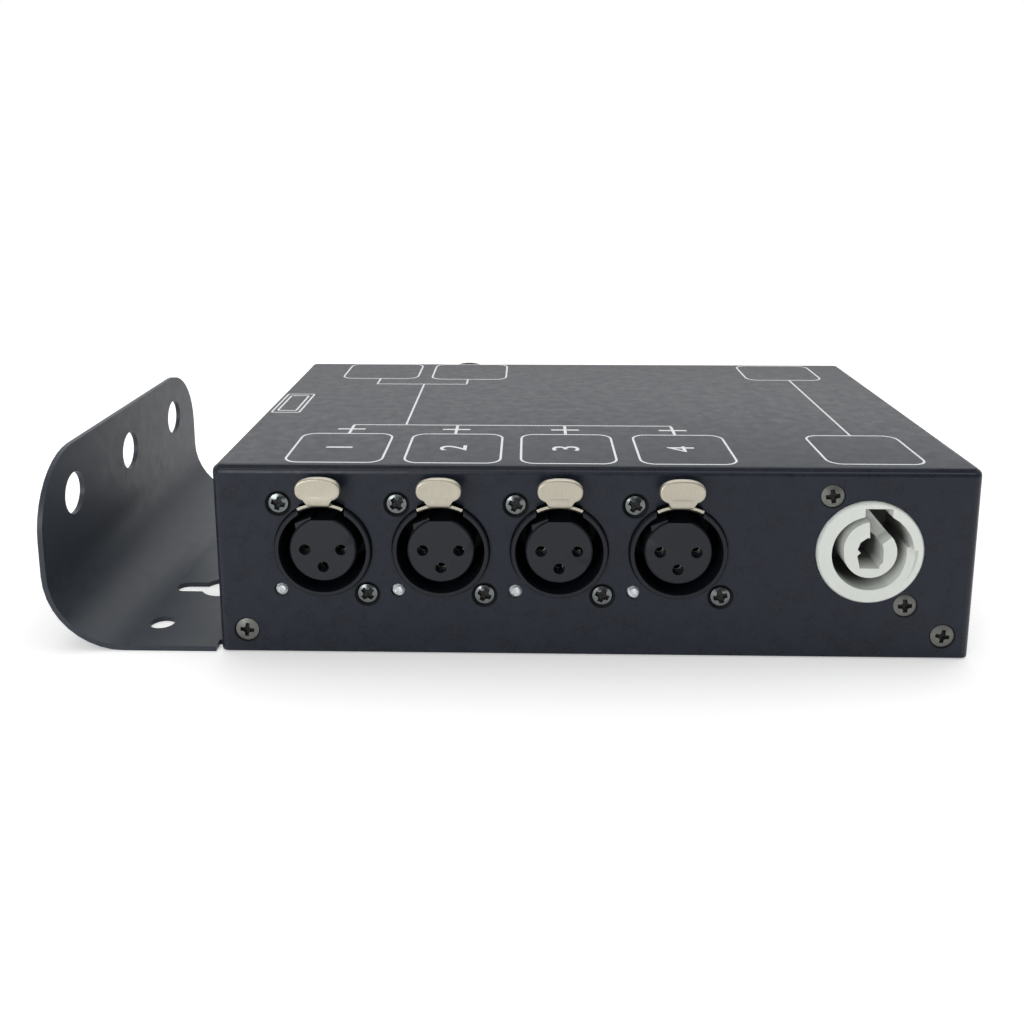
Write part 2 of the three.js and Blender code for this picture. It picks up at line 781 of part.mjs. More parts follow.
function lampBody() {
  const radius = lamp.diameter / 2;
  const dome = [];
  for (let i = 0; i <= domeRings; i += 1) {
    const angle = (i / domeRings) * (Math.PI / 2);
    dome.push([radius * Math.sin(angle), radius - lamp.proud - radius * Math.cos(angle)]);
  }
  dome[0][0] = 0;
  const lens = turned([...dome, [radius, lamp.bodyDepth], [0, lamp.bodyDepth]], smallSides);
  const drop = -(boardDrop - lampInset) + fitGap;
  const legs = [-1, 1].map((side) => {
    const x = (side * (lampLeg.spacing - lampLeg.thickness)) / 2;
    const half = lampLeg.thickness / 2;
    const back = lamp.bodyDepth + lampLeg.spacing;
    const run = block(x - half, x + half, lamp.bodyDepth - lampLeg.thickness, back, -half, half);
    const fall = block(x - half, x + half, back - lampLeg.thickness, back, drop, half);
    return joined(run, fall);
  });
  return joined(lens, ...legs);
}

// Mains sockets, drawn for the outlet. The inlet is keyed the other way round.

function mirrored(shapePoints, hand) {
  return outline(shapePoints.map(([x, z]) => [hand * x, z]));
}

// Lock ramp: the ring's inner edge falls away from a step down to the rim
function lockRamp(hand) {
  const { rampRadius, rampDepth, rampStart, rampLength, ringProud } = mainsSocket;
  const side = outline([
    [-ringProud - overrun, rampStart],
    [rampDepth - ringProud, rampStart],
    [-ringProud, rampStart - rampLength],
    [-ringProud - overrun, rampStart - rampLength],
  ]);
  const [from, to] = hand > 0 ? [0, rampRadius] : [-rampRadius, 0];
  const wedge = solidOf(alongX(side, from, to));
  return wedge.intersect(rod(rampRadius, -ringProud - 2 * overrun, rampDepth, wideSides));
}

function sector(hand, radius, startAngle, endAngle, y0, y1) {
  const points = [[0, 0]];
  const steps = Math.ceil((endAngle - startAngle) / postAngles.step);
  for (let i = 0; i <= steps; i += 1) {
    points.push(polar(radius, startAngle + (i / steps) * (endAngle - startAngle)));
  }
  return solidOf(alongY(mirrored(points, hand), y0, y1));
}

// The post is round from the tangent point, and swells on its way up to the gap's far lip
function postBody(hand, front, back) {
  const { tangent, gapEnd, swellEnd, step } = postAngles;
  const radius = mainsPost.diameter / 2;
  const points = [];
  for (let angle = gapEnd; angle < 360 + tangent; angle += step) {
    const swollen = Math.max(0, (swellEnd - angle) / (swellEnd - gapEnd));
    points.push(polar(radius + mainsPost.swell * swollen, angle));
  }
  points.push(polar(radius, tangent));
  return solidOf(alongY(mirrored(points, hand), front, back));
}

// Straight web from the post's side to the corner of the key slot
function postWeb(hand, front, back) {
  const radius = mainsPost.diameter / 2;
  const { tangent } = postAngles;
  const along = (point, distance) => {
    const [x, z] = polar(distance, tangent + 90);
    return [point[0] + x, point[1] + z];
  };
  const outside = polar(radius, tangent);
  const inside = polar(radius - mainsPost.webWidth, tangent);
  const points = [outside, along(outside, mainsPost.webLength), along(inside, mainsPost.webLength), inside];
  return solidOf(alongY(mirrored(points, hand), front, back));
}

function keyedBore(hand, front) {
  const { boreWidth, boreHeight, boreDepth, toothWidth } = mainsPost;
  const [x, z] = [boreWidth / 2, boreHeight / 2];
  const dome = [];
  for (let angle = 0; angle <= 180; angle += 180 / circleSegments) {
    const [across, up] = polar(x, angle);
    dome.push([across, up + z - x]);
  }
  const points = [
    [-x + toothWidth, -z],
    [x - toothWidth, -z],
    [x - toothWidth, -z + toothWidth],
    [x, -z + 2 * toothWidth],
    ...dome,
    [-x, toothWidth],
    [-x + toothWidth, 0],
    [-x, -toothWidth],
  ];
  return solidOf(alongY(mirrored(points, hand), front - overrun, front + boreDepth));
}

function mainsSocketBody(hand) {
  const m = mainsSocket;
  const ring = m.ringDiameter / 2;
  const shell = turned(
    [
      [0, -m.ringProud],
      [ring - m.ringEdge, -m.ringProud],
      [ring, -m.ringProud + m.ringEdge],
      [ring, m.bodyDepth],
      [0, m.bodyDepth],
    ],
    wideSides,
  );
  const flangeUp = mains.screwUp + m.flangeMargin;
  const flange = block(
    -m.flangeWidth / 2, m.flangeWidth / 2,
    housingFront, housingFront + m.flangeThickness,
    -flangeUp, flangeUp,
  );
  const cavity = rod(m.cavityDiameter / 2, -m.ringProud - overrun, m.cavityDepth, wideSides);
  const [keyFrom, keyTo] = [m.keyShift - m.keyWidth / 2, m.keyShift + m.keyWidth / 2];
  const keyOutline = [[keyFrom, 0], [keyTo, 0], [keyTo, m.keyHeight], [keyFrom, m.keyHeight]];
  const key = solidOf(alongY(mirrored(keyOutline, hand), -m.ringProud - overrun, m.cavityDepth));
  const pocket = sector(
    hand, m.pocketRadius, pocketAngles.start, pocketAngles.end, -m.ringProud - overrun, m.cavityDepth,
  );
  const threadEnd = housingFront + m.flangeThickness + overrun;
  const threads = mainsScrewPlaces().map(([x, z]) =>
    rod(mainsScrewSize.shank / 2 + fitGap, 0, threadEnd, screwSides, x, z));
  const hollow = cut(joined(shell, flange), cavity, key, pocket, lockRamp(hand), ...threads);
  const front = mainsPost.setback - m.ringProud;
  const gapFloor = front + mainsPost.gapDepth;
  const back = m.cavityDepth + overrun;
  const gap = sector(
    hand, m.cavityDiameter / 2, postAngles.tangent, postAngles.gapEnd, front - overrun, gapFloor,
  );
  const core = joined(cut(postBody(hand, front, back), gap), postWeb(hand, gapFloor, back));
  return joined(hollow, cut(core, keyedBore(hand, front)));
}

// Raised countersunk screw with a cross recess, its cone sitting in the panel's countersink
function screwBody(size) {
  const head = size.headDiameter / 2;
  const shank = size.shank / 2;
  const { coneHeight, rise, recessWidth, recessLength, recessDepth } = screwHead;
  const body = turned(
    [[0, -rise], [head, 0], [shank, coneHeight], [shank, size.length], [0, size.length]],
    screwSides,
  );
  const arm = blockShape(
    -recessLength / 2, recessLength / 2,
    -rise - overrun, recessDepth - rise,
    -recessWidth / 2, recessWidth / 2,
  );
  const cross = arm.clone().rotateY(Math.PI / 2);
  return cut(body, solidOf(arm), solidOf(cross));
}

function addScrews(name, size, look, places, offsets) {
  let count = 0;
  for (const place of places) {
    const side = place.turn === 0 ? 1 : -1;
    for (const [x, z] of offsets) {
      count += 1;
      addPiece(`${name}_${count}`, screwBody(size), look, {
        x: place.x + side * x, y: place.y + side * fitGap, z: place.z + z, turn: place.turn,
      });
    }
  }
}

// Parts inside

function boardBody() {
  const halfX = cover.width / 2 - cover.sheet - board.sideGap;
  const halfY = cover.depth / 2 - board.edgeInset;
  const plate = block(-halfX, halfX, -halfY, halfY, boardBottom, boardTop);
  const holes = standoffPlaces().map(([x, y]) => {
    const circle = circleShape(x, y, standoff.pinDiameter / 2 + fitGap);
    return solidOf(alongZ(circle, boardBottom - overrun, boardTop + overrun));
  });
  const chips = [];
  for (let i = 0; i < boardChip.count; i += 1) {
    const x = leftFace + outputs.sideInset + i * boardChip.pitch;
    chips.push(block(
      x - boardChip.width / 2, x + boardChip.width / 2, -boardChip.length / 2, boardChip.length / 2,
      boardBottom, boardTop + boardChip.height,
    ));
  }
  return cut(joined(plate, ...chips), ...holes);
}

function standoffPlaces() {
  const x = cover.width / 2 - cover.sheet - board.sideGap - standoff.inset;
  const y = cover.depth / 2 - housing.depth - standoff.inset;
  return [[-x, -y], [x, -y], [-x, y], [x, y]];
}

function standoffBody() {
  const foot = base.sheet + fitGap;
  const pillar = circleShape(0, 0, standoff.diameter / 2);
  const pin = circleShape(0, 0, standoff.pinDiameter / 2);
  return joined(
    solidOf(alongZ(pillar, foot, boardBottom - fitGap)),
    solidOf(alongZ(pin, foot, boardBottom + standoff.pinHeight, bendSegments)),
  );
}

function converterBody() {
  const plan = roundedRectangle(converter.width, converter.length, converter.edge);
  return solidOf(alongZ(plan, boardTop + fitGap, boardTop + fitGap + converter.height, bendSegments / 2));
}

// Mains link from the inlet to the outlet, held between the backs of the two sockets
function linkBody() {
  const reach = cover.depth / 2 - mainsSocket.bodyDepth - link.seatGap;
  const z = mainsHeight;
  const route = new THREE.CatmullRomCurve3([
    new THREE.Vector3(mainsX, -reach, z),
    new THREE.Vector3(mainsX, -reach + link.diameter, z),
    new THREE.Vector3(mainsX + link.bow, 0, z),
    new THREE.Vector3(mainsX, reach - link.diameter, z),
    new THREE.Vector3(mainsX, reach, z),
  ]);
  const lead = new THREE.ExtrudeGeometry(circleShape(0, 0, link.diameter / 2), {
    steps: linkSteps,
    curveSegments: bendSegments,
    extrudePath: route,
  });
  return solidOf(lead);
}

// Assembly

function addFemaleSocket(name, place, drop, hasLamp) {
  addPiece(`${name}_housing`, femaleHousing(drop, hasLamp), blackPlastic, place);
  addPiece(`${name}_insert`, femaleInsert(), insertPlastic, place);
  addPiece(`${name}_latch`, latchBody(), nickel, place);
  addPiece(`${name}_latch_spring`, latchSpringBody(), silverPin, place);
}

addPiece('top_cover', coverBody(), steelPaint);
addPiece('base_plate', baseBody(), darkPaint);

outputPlaces().forEach((place, i) => {
  addFemaleSocket(`output_${i + 1}`, place, boardDrop, true);
  addPiece(`output_${i + 1}_lamp`, lampBody(), clearLens, {
    ...place, x: place.x - lampInset, z: place.z - lampInset,
  });
});

addFemaleSocket('thru', thruPlace, boardDrop + rearRaise, false);
addPiece('input_housing', maleHousing(boardDrop + rearRaise), blackPlastic, inputPlace);
addPiece('input_insert', maleInsert(), insertPlastic, inputPlace);
contactPlaces().forEach(([x, z], i) => {
  addPiece(`input_pin_${i + 1}`, malePin(), silverPin, {
    ...inputPlace, x: inputPlace.x - x, z: inputPlace.z + z,
  });
});

addPiece('mains_outlet', mainsSocketBody(1), palePlastic, mainsOutPlace);
addPiece('mains_inlet', mainsSocketBody(-1), bluePlastic, mainsInPlace);

addScrews('output_screw', socketScrewSize, zinc, outputPlaces(), socketScrewPlaces());
addScrews('rear_socket_screw', socketScrewSize, zinc, [inputPlace, thruPlace], socketScrewPlaces());
addScrews('mains_screw', mainsScrewSize, greyZinc, [mainsOutPlace, mainsInPlace], mainsScrewPlaces());
addScrews('cover_screw', coverScrewSize, greyZinc, coverScrewPlaces(), [[0, 0]]);

addPiece('circuit_board', boardBody(), boardLacquer);
addPiece('power_converter', converterBody(), blackPlastic, {
  x: mainsX - mains.sideInset - converter.width / 2, y: 0, z: 0, turn: 0,
});
standoffPlaces().forEach(([x, y], i) => {
  addPiece(`board_pillar_${i + 1}`, standoffBody(), pillarNylon, { x, y, z: 0, turn: 0 });
});
addPiece('mains_link', linkBody(), blackPlastic);

export default group;
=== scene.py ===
import json
import math

import bmesh
import bpy
from mathutils import Matrix, Vector

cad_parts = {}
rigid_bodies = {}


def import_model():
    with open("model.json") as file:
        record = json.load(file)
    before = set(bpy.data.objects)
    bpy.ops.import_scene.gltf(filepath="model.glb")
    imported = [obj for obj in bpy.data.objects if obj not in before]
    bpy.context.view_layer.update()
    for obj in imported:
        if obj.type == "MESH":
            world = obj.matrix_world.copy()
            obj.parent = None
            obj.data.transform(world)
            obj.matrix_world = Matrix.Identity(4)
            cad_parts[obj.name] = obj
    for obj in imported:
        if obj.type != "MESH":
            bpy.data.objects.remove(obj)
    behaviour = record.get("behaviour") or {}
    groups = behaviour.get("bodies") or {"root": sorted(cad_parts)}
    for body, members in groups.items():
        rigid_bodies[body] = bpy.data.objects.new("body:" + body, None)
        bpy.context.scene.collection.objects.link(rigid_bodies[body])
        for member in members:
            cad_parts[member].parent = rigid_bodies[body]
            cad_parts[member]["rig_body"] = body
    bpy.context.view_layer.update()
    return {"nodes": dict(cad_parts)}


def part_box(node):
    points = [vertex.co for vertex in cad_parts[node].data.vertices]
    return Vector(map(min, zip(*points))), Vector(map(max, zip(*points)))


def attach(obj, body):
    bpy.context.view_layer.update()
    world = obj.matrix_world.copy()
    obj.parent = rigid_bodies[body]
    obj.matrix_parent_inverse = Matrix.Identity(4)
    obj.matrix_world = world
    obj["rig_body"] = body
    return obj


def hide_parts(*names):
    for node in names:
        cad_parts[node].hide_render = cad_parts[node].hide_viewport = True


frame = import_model()
mm = 0.001
weld = 0.002 * mm
flatAngle = math.radians(0.6)
scene = bpy.context.scene
print("frame loaded")


# Small tools shared by the pieces

def linkObject(name, data):
    obj = bpy.data.objects.new(name, data)
    scene.collection.objects.link(obj)
    return obj


def openMesh(*meshes):
    work = bmesh.new()
    for mesh in meshes:
        work.from_mesh(mesh)
    return work


def closeMesh(work, mesh):
    work.to_mesh(mesh)
    work.free()
    return mesh


def bakedMesh(obj):
    # what an object's modifiers or its text come out as; the object itself goes
    mesh = bpy.data.meshes.new_from_object(obj.evaluated_get(bpy.context.evaluated_depsgraph_get()))
    bpy.data.objects.remove(obj)
    return mesh


def boxOf(node):
    # the low and high corners of a node, and the middle between them
    low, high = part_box(node)
    return low, high, [(first + second) / 2 for first, second in zip(low, high)]


def dressMesh(name, mesh, material, nodes=(), angle=32, edge=0):
    # a piece from its mesh, smooth up to an angle and with rounded edges; no material: it has its own
    obj = linkObject(name, mesh)
    if angle:
        for face in mesh.polygons:
            face.use_smooth = True
        mesh.set_sharp_from_angle(angle=math.radians(angle))
    if edge:
        bevel = obj.modifiers.new("roundEdges", "BEVEL")
        bevel.width = edge * mm
        bevel.segments = 2
        bevel.limit_method = "ANGLE"
        bevel.angle_limit = math.radians(50)
        bevel.harden_normals = True
        bevel.use_clamp_overlap = True
    if material:
        mesh.materials.clear()
        mesh.materials.append(material)
    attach(obj, frame["nodes"][nodes[0]]["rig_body"] if nodes else "splitter")
    if nodes:
        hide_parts(*nodes)


def mergedMesh(node, name):
    # a welded copy of a CAD node, its flat faces made whole again
    mesh = frame["nodes"][node].data.copy()
    mesh.name = name
    mesh.materials.clear()
    work = openMesh(mesh)
    bmesh.ops.remove_doubles(work, verts=work.verts, dist=weld)
    bmesh.ops.dissolve_limit(work, angle_limit=flatAngle, verts=work.verts, edges=work.edges)
    return closeMesh(work, mesh)


def roundOut(mesh, centre, sides, reach, span=1000, cuts=3, axis=(0, 1, 0)):
    # gives the facets of rings and holes round an axis finer facets on the true circle
    centre, axis = Vector(centre), Vector(axis)
    up = Vector((0, 0, 1)) if abs(axis.x) > 0.5 else Vector((1, 0, 0))
    across = axis.cross(up)
    step = 2 * math.pi / sides
    endOn, slack = 0.98, 0.02

    def angleOf(vector):
        return math.atan2(vector.dot(across), vector.dot(up))

    def radiusOf(point):
        offset = point - centre
        return math.hypot(offset.dot(across), offset.dot(up))

    work = openMesh(mesh)
    work.normal_update()
    facets = {}
    for face in work.faces:
        middle = face.calc_center_median() - centre
        if abs(face.normal.dot(axis)) > endOn or abs(middle.dot(axis)) > span * mm:
            continue
        index = math.floor(angleOf(middle) / step)
        off = (angleOf(face.normal) - (index + 0.5) * step) / math.pi
        if abs(off - round(off)) * math.pi > slack * step:
            continue
        if all(reach[0] <= radiusOf(vert.co) / mm <= reach[1] for vert in face.verts):
            facets.setdefault(index, []).append(face)
    moves = {}
    for index, faces in facets.items():
        for i in range(1, cuts + 1):
            angle = (index + i / (cuts + 1)) * step
            edges = {edge for face in faces for edge in face.edges}
            verts = {vert for face in faces for vert in face.verts}
            found = bmesh.ops.bisect_plane(work, geom=[*faces, *edges, *verts], dist=weld / 4, plane_co=centre,
                                           plane_no=across * math.cos(angle) - up * math.sin(angle))
            faces = [item for item in found["geom"] if isinstance(item, bmesh.types.BMFace)]
        for face in faces:
            for vert in face.verts:
                offset = vert.co - centre
                turn = math.remainder(angleOf(offset) - (index + 0.5) * step, 2 * math.pi)
                moves[vert] = math.cos(turn) / math.cos(step / 2)
    for vert, factor in moves.items():
        offset = vert.co - centre
        along = axis * offset.dot(axis)
        vert.co = centre + along + (offset - along) * factor
    closeMesh(work, mesh)


def meshFromRows(name, rows, wrap=False):
    # quads between rows of the same count; the ends are closed, or the last row meets the first
    work = bmesh.new()
    lines = [[work.verts.new(point) for point in row] for row in rows]
    count = len(lines[0])
    pairs = list(zip(lines, lines[1:]))
    if wrap:
        pairs.append((lines[-1], lines[0]))
    for lower, upper in pairs:
        for i in range(count):
            j = (i + 1) % count
            work.faces.new((lower[i], lower[j], upper[j], upper[i]))
    if not wrap:
        work.faces.new(list(reversed(lines[0])))
        work.faces.new(lines[-1])
    bmesh.ops.recalc_face_normals(work, faces=work.faces)
    return closeMesh(work, bpy.data.meshes.new(name))


def joinMeshes(name, meshes):
    return closeMesh(openMesh(*meshes), bpy.data.meshes.new(name))


def roundTurn(count):
    return [2 * math.pi * i / count for i in range(count)]


def backEdge(values, bevel=0.2):
    return [(values["radius"], values["back"] - bevel), (values["radius"] - bevel, values["back"])]


def turnedMesh(name, profile, count):
    # a closed body turned about the y axis, from rows of radius and y
    return meshFromRows(name, [[(radius * math.cos(angle), y, radius * math.sin(angle))
                                for angle in roundTurn(count)] for radius, y in profile])


# Node tree tools

socketKinds = {float: "NodeSocketFloat", int: "NodeSocketInt", str: "NodeSocketMaterial",
               type(None): "NodeSocketGeometry"}


def newTree(name, kind, inputs, outputs):
    # a node group with named sockets, and what its input node gives
    tree = bpy.data.node_groups.new(name, kind)
    for direction, sockets in (("INPUT", inputs), ("OUTPUT", outputs)):
        for label, value in sockets.items():
            kind = socketKinds[type(value)]
            socket = tree.interface.new_socket(name=label, in_out=direction, socket_type=kind)
            if direction == "INPUT" and type(value) in (float, int):
                socket.default_value = value
    return tree, tree.nodes.new("NodeGroupInput").outputs


def endTree(tree, **outputs):
    addNode(tree, "NodeGroupOutput", outputs)
    return tree


def openSocket(sockets, name):
    if isinstance(name, int):
        return sockets[name]
    return next(socket for socket in sockets if socket.name == name and socket.enabled)


def addNode(tree, kind, values=None, **settings):
    node = tree.nodes.new(kind)
    for key, value in settings.items():
        setattr(node, key, value)
    for name, value in (values or {}).items():
        socket = openSocket(node.inputs, name)
        if isinstance(value, bpy.types.NodeSocket):
            tree.links.new(value, socket)
        else:
            socket.default_value = value
    return node


def outputOf(tree, kind, values=None, **settings):
    return addNode(tree, kind, values, **settings).outputs[0]


def mathNode(tree, operation, first, second=0.0, third=0.0):
    return outputOf(tree, "ShaderNodeMath", {0: first, 1: second, 2: third}, operation=operation)


def times(tree, first, second):
    return mathNode(tree, "MULTIPLY", first, second)


def lengthOf(tree, vector):
    return addNode(tree, "ShaderNodeVectorMath", {0: vector}, operation="LENGTH").outputs["Value"]


def objectPlace(tree):
    return addNode(tree, "ShaderNodeTexCoord").outputs["Object"]


def combine(tree, x=0.0, y=0.0, z=0.0):
    return outputOf(tree, "ShaderNodeCombineXYZ", {0: x, 1: y, 2: z})


def separate(tree, vector):
    return addNode(tree, "ShaderNodeSeparateXYZ", {0: vector}).outputs


def mapRange(tree, value, start, end, low, high, **settings):
    values = {"Value": value, "From Min": start, "From Max": end, "To Min": low, "To Max": high}
    return outputOf(tree, "ShaderNodeMapRange", values, **settings)


def noise(tree, place, scale, detail, roughness):
    values = {"Vector": place, "Scale": scale, "Detail": detail, "Roughness": roughness}
    return outputOf(tree, "ShaderNodeTexNoise", values)


def shaded(tree, color, shade):
    mix = addNode(tree, "ShaderNodeMix", {0: 1.0, 6: color, 7: shade}, data_type="RGBA", blend_type="MULTIPLY")
    return mix.outputs[2]


# Shared shader groups

def makePaintGrainGroup():
    tree, given = newTree("paintGrain", "ShaderNodeTree",
                          {"Fine Scale": 2200.0, "Cloud Scale": 60.0, "Cloud Spread": 0.1},
                          {"Height": 0.0, "Shade": 0.0, "Cloud": 0.0})
    place = objectPlace(tree)
    fine = noise(tree, place, given["Fine Scale"], 3.0, 0.6)
    cloud = noise(tree, place, given["Cloud Scale"], 4.0, 0.65)
    middle = mathNode(tree, "SUBTRACT", cloud, 0.5)
    shade = mathNode(tree, "MULTIPLY_ADD", middle, given["Cloud Spread"], 1.0)
    return endTree(tree, Height=fine, Shade=shade, Cloud=cloud)


def makeBrushMarksGroup():
    # long thin marks along one axis, as a buffed or rolled metal face has
    tree, given = newTree("brushMarks", "ShaderNodeTree",
                          {"Across Scale": 6000.0, "Along Scale": 500.0, "Spread": 0.1},
                          {"Height": 0.0, "Shade": 0.0})
    parts = separate(tree, objectPlace(tree))
    across = [times(tree, parts[i], given["Across Scale"]) for i in (0, 1)]
    along = times(tree, parts[2], given["Along Scale"])
    marks = noise(tree, combine(tree, *across, along), 1.0, 3.0, 0.7)
    middle = mathNode(tree, "SUBTRACT", marks, 0.5)
    shade = mathNode(tree, "MULTIPLY_ADD", middle, given["Spread"], 1.0)
    return endTree(tree, Height=marks, Shade=shade)


def makeDepthShadeGroup():
    # light that fades with depth behind the front or the rear panel
    tree, given = newTree("depthShade", "ShaderNodeTree",
                          {"Face": 0.0517, "Start": 0.001, "Reach": 0.006, "Least": 0.3}, {"Shade": 0.0})
    y = separate(tree, objectPlace(tree))[1]
    behind = mathNode(tree, "SUBTRACT", given["Face"], mathNode(tree, "ABSOLUTE", y))
    shade = mapRange(tree, behind, given["Start"], given["Reach"], 1.0, given["Least"])
    return endTree(tree, Shade=shade)


paintGrain = makePaintGrainGroup()
brushMarks = makeBrushMarksGroup()
depthShade = makeDepthShadeGroup()


def newMaterial(name, color, roughness, **inputs):
    material = bpy.data.materials.new(name)
    material.use_nodes = True
    shader = material.node_tree.nodes["Principled BSDF"]
    for label, value in {"Base Color": (*color, 1.0), "Roughness": roughness, "Metallic": 0.0, **inputs}.items():
        shader.inputs[label].default_value = value
    return material, material.node_tree, shader


def linear(*channels):
    # from the 0 to 255 steps of a screen colour to light
    shares = [channel / 255 for channel in channels]
    return [share / 12.92 if share <= 0.04045 else ((share + 0.055) / 1.055) ** 2.4 for share in shares]


def finishMaterial(name, color, roughness, metallic, look):
    # colour with a shade that drifts over it, fine bumps, and roughness that follows them
    look = {**plainLook, **look}
    color, spread = linear(*color), look["roughSpread"]
    material, tree, shader = newMaterial(name, color, roughness, Metallic=metallic,
                                         **{"Specular IOR Level": look["specular"]})
    grain = addNode(tree, "ShaderNodeGroup", node_tree=brushMarks if look.get("brushed") else paintGrain)
    for i, label in enumerate(("fineScale", "cloudScale", "cloudSpread")):
        grain.inputs[i].default_value = look[label]
    tint = shaded(tree, (*color, 1.0), grain.outputs["Shade"])
    bump = addNode(tree, "ShaderNodeBump", {"Height": grain.outputs["Height"], "Strength": look["bumpStrength"],
                                            "Distance": look["bumpHeight"] * mm})
    # painted shade: the colour darkens with depth behind the panel
    if look.get("deepShade"):
        shade = addNode(tree, "ShaderNodeGroup", node_tree=depthShade)
        for label, value in look["deepShade"].items():
            shade.inputs[label].default_value = value
        tint = shaded(tree, tint, shade.outputs["Shade"])
    rough = mapRange(tree, grain.outputs[look["roughFrom"]], 0.0, 1.0, roughness - spread, roughness + spread)
    tree.links.new(tint, shader.inputs["Base Color"])
    tree.links.new(bump.outputs["Normal"], shader.inputs["Normal"])
    tree.links.new(rough, shader.inputs["Roughness"])
    return material


plainLook = {"fineScale": 3000, "cloudScale": 160, "cloudSpread": 0.2, "bumpStrength": 0.2, "bumpHeight": 0.02,
             "roughSpread": 0.06, "roughFrom": "Height", "specular": 0.5}
paintLook = {"fineScale": 1500, "bumpHeight": 0.04, "roughFrom": "Cloud"}
darkLook = {"fineScale": 3500, "cloudScale": 120}
nickelLook = {"fineScale": 5200, "cloudScale": 420, "cloudSpread": 0.45, "bumpStrength": 0.3, "roughSpread": 0.1,
              "brushed": True}
zincLook = {"fineScale": 2600, "cloudScale": 700, "cloudSpread": 0.6, "bumpStrength": 0.3, "roughSpread": 0.1}
# colour, roughness, metal, and what differs from the plain look
finishes = {
    "coverPaint": ((33, 37, 47), 0.31, 0.0, {**paintLook, "cloudScale": 340, "cloudSpread": 1.0,
                                             "specular": 0.2, "bumpStrength": 0.45, "roughSpread": 0.2}),
    "basePaint": ((52, 58, 66), 0.4, 0.0, {**paintLook, "cloudScale": 300, "cloudSpread": 0.7,
                                           "specular": 0.27, "bumpStrength": 0.35, "roughSpread": 0.14}),
    "socketPlastic": ((17, 20, 28), 0.45, 0.0, {**darkLook, "specular": 0.28}),
    "insertPlastic": ((21, 25, 32), 0.55, 0.0, {"fineScale": 3500, "cloudScale": 150, "specular": 0.35,
                                                "cloudSpread": 0.25, "bumpStrength": 0.3, "roughSpread": 0.08}),
    "palePlastic": ((224, 228, 222), 0.42, 0.0, {"cloudSpread": 0.06, "roughSpread": 0.05, "deepShade": {
        "Start": 0.0006, "Reach": 0.006, "Least": 0.22}}),
    "bluePlastic": ((32, 74, 146), 0.42, 0.0, {"cloudSpread": 0.08, "roughSpread": 0.05, "deepShade": {
        "Start": 0.0006, "Reach": 0.008, "Least": 0.3}}),
    "latchNickel": ((176, 171, 156), 0.34, 0.8, nickelLook),
    # the latch nickel darkened, painted shade
    "shadedNickel": ((52, 50, 47), 0.6, 0.6, nickelLook),
    "brightZinc": ((106, 111, 112), 0.2, 0.95, zincLook),
    "dullZinc": ((106, 107, 103), 0.4, 0.75, zincLook),
    # near black, painted shade for sunk rims and for faces behind the panel
    "paintedDeepShade": ((7, 8, 12), 0.6, 0.0, {**darkLook, "specular": 0.2}),
    # dark dull metal, painted shade inside the screw recesses
    "recessShade": ((32, 33, 31), 0.6, 0.4, {"cloudScale": 900, "cloudSpread": 0.5, "roughSpread": 0.1}),
    "silver": ((214, 214, 208), 0.24, 1.0, {"fineScale": 6000, "cloudScale": 900, "bumpStrength": 0.1,
                                            "bumpHeight": 0.01, "brushed": True}),
    "boardLacquer": ((22, 82, 52), 0.4, 0.0, {"fineScale": 900, "cloudScale": 120, "bumpHeight": 0.03,
                                              "roughSpread": 0.08}),
    "nylon": ((228, 226, 218), 0.55, 0.0, {"fineScale": 2000, "cloudScale": 200, "cloudSpread": 0.05,
                                           "roughSpread": 0.05}),
    "lampCup": ((246, 248, 250), 0.5, 0.0, {"cloudScale": 1500, "cloudSpread": 0.3, "bumpStrength": 0.4,
                                            "bumpHeight": 0.03, "roughSpread": 0.05}),
    "printInk": ((220, 223, 224), 0.5, 0.0, {"fineScale": 2600, "cloudScale": 300, "bumpStrength": 0.1,
                                             "bumpHeight": 0.01, "roughSpread": 0.05}),
}
paints = {name: finishMaterial(name, *finish) for name, finish in finishes.items()}
print("materials ready")


# Steel cover and base plate

def numbered(pattern, count):
    return [pattern.format(i + 1) for i in range(count)]


panelHoles = {
    "socket": {"sides": 8, "reach": (1.0, 2.75), "rim": 2.9,
               "nodes": numbered("output_screw_{}", 8) + numbered("rear_socket_screw_{}", 4)},
    "mains": {"sides": 8, "reach": (1.0, 2.8), "rim": 2.7, "nodes": numbered("mains_screw_{}", 4)},
    "cover": {"sides": 8, "reach": (1.0, 3.0), "rim": 2.9, "nodes": numbered("cover_screw_{}", 4)},
    "lamp": {"sides": 10, "reach": (1.35, 1.75), "rim": 1.55, "nodes": numbered("output_{}_lamp", 4)},
}
coverForm = {"panel": 51.1, "face": 51.7, "fold": 0.5, "corner": 0.9, "softer": 1.76,
             "noseReach": (10.5, 11.1), "mainsReach": (11.3, 12.0), "ringSides": 28,
             "slotHalf": 5.0, "slotTop": 12.6, "arch": 11.25, "archCuts": 9,
             "cornerAcross": (-82.9, -80.7), "cornerDepth": -49.9, "footCut": 1.4, "foot": 0.3}
coverLow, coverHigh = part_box("top_cover")
outputNames = numbered("output_{}", 4)
femaleNames = [*outputNames, "thru"]


def roundMiddle(node):
    # the middle of a round piece, at its panel: up from the foot of an insert, down from the top of others
    low, high, middle = boxOf(node)
    radius = (high[0] - low[0]) / 2
    height = low[2] + radius if node.endswith("insert") else high[2] - radius
    return Vector((middle[0], math.copysign(coverForm["panel"] * mm, low[1]), height))


sunkHoles = [(hole, roundMiddle(node)) for hole in panelHoles.values() for node in hole["nodes"]]


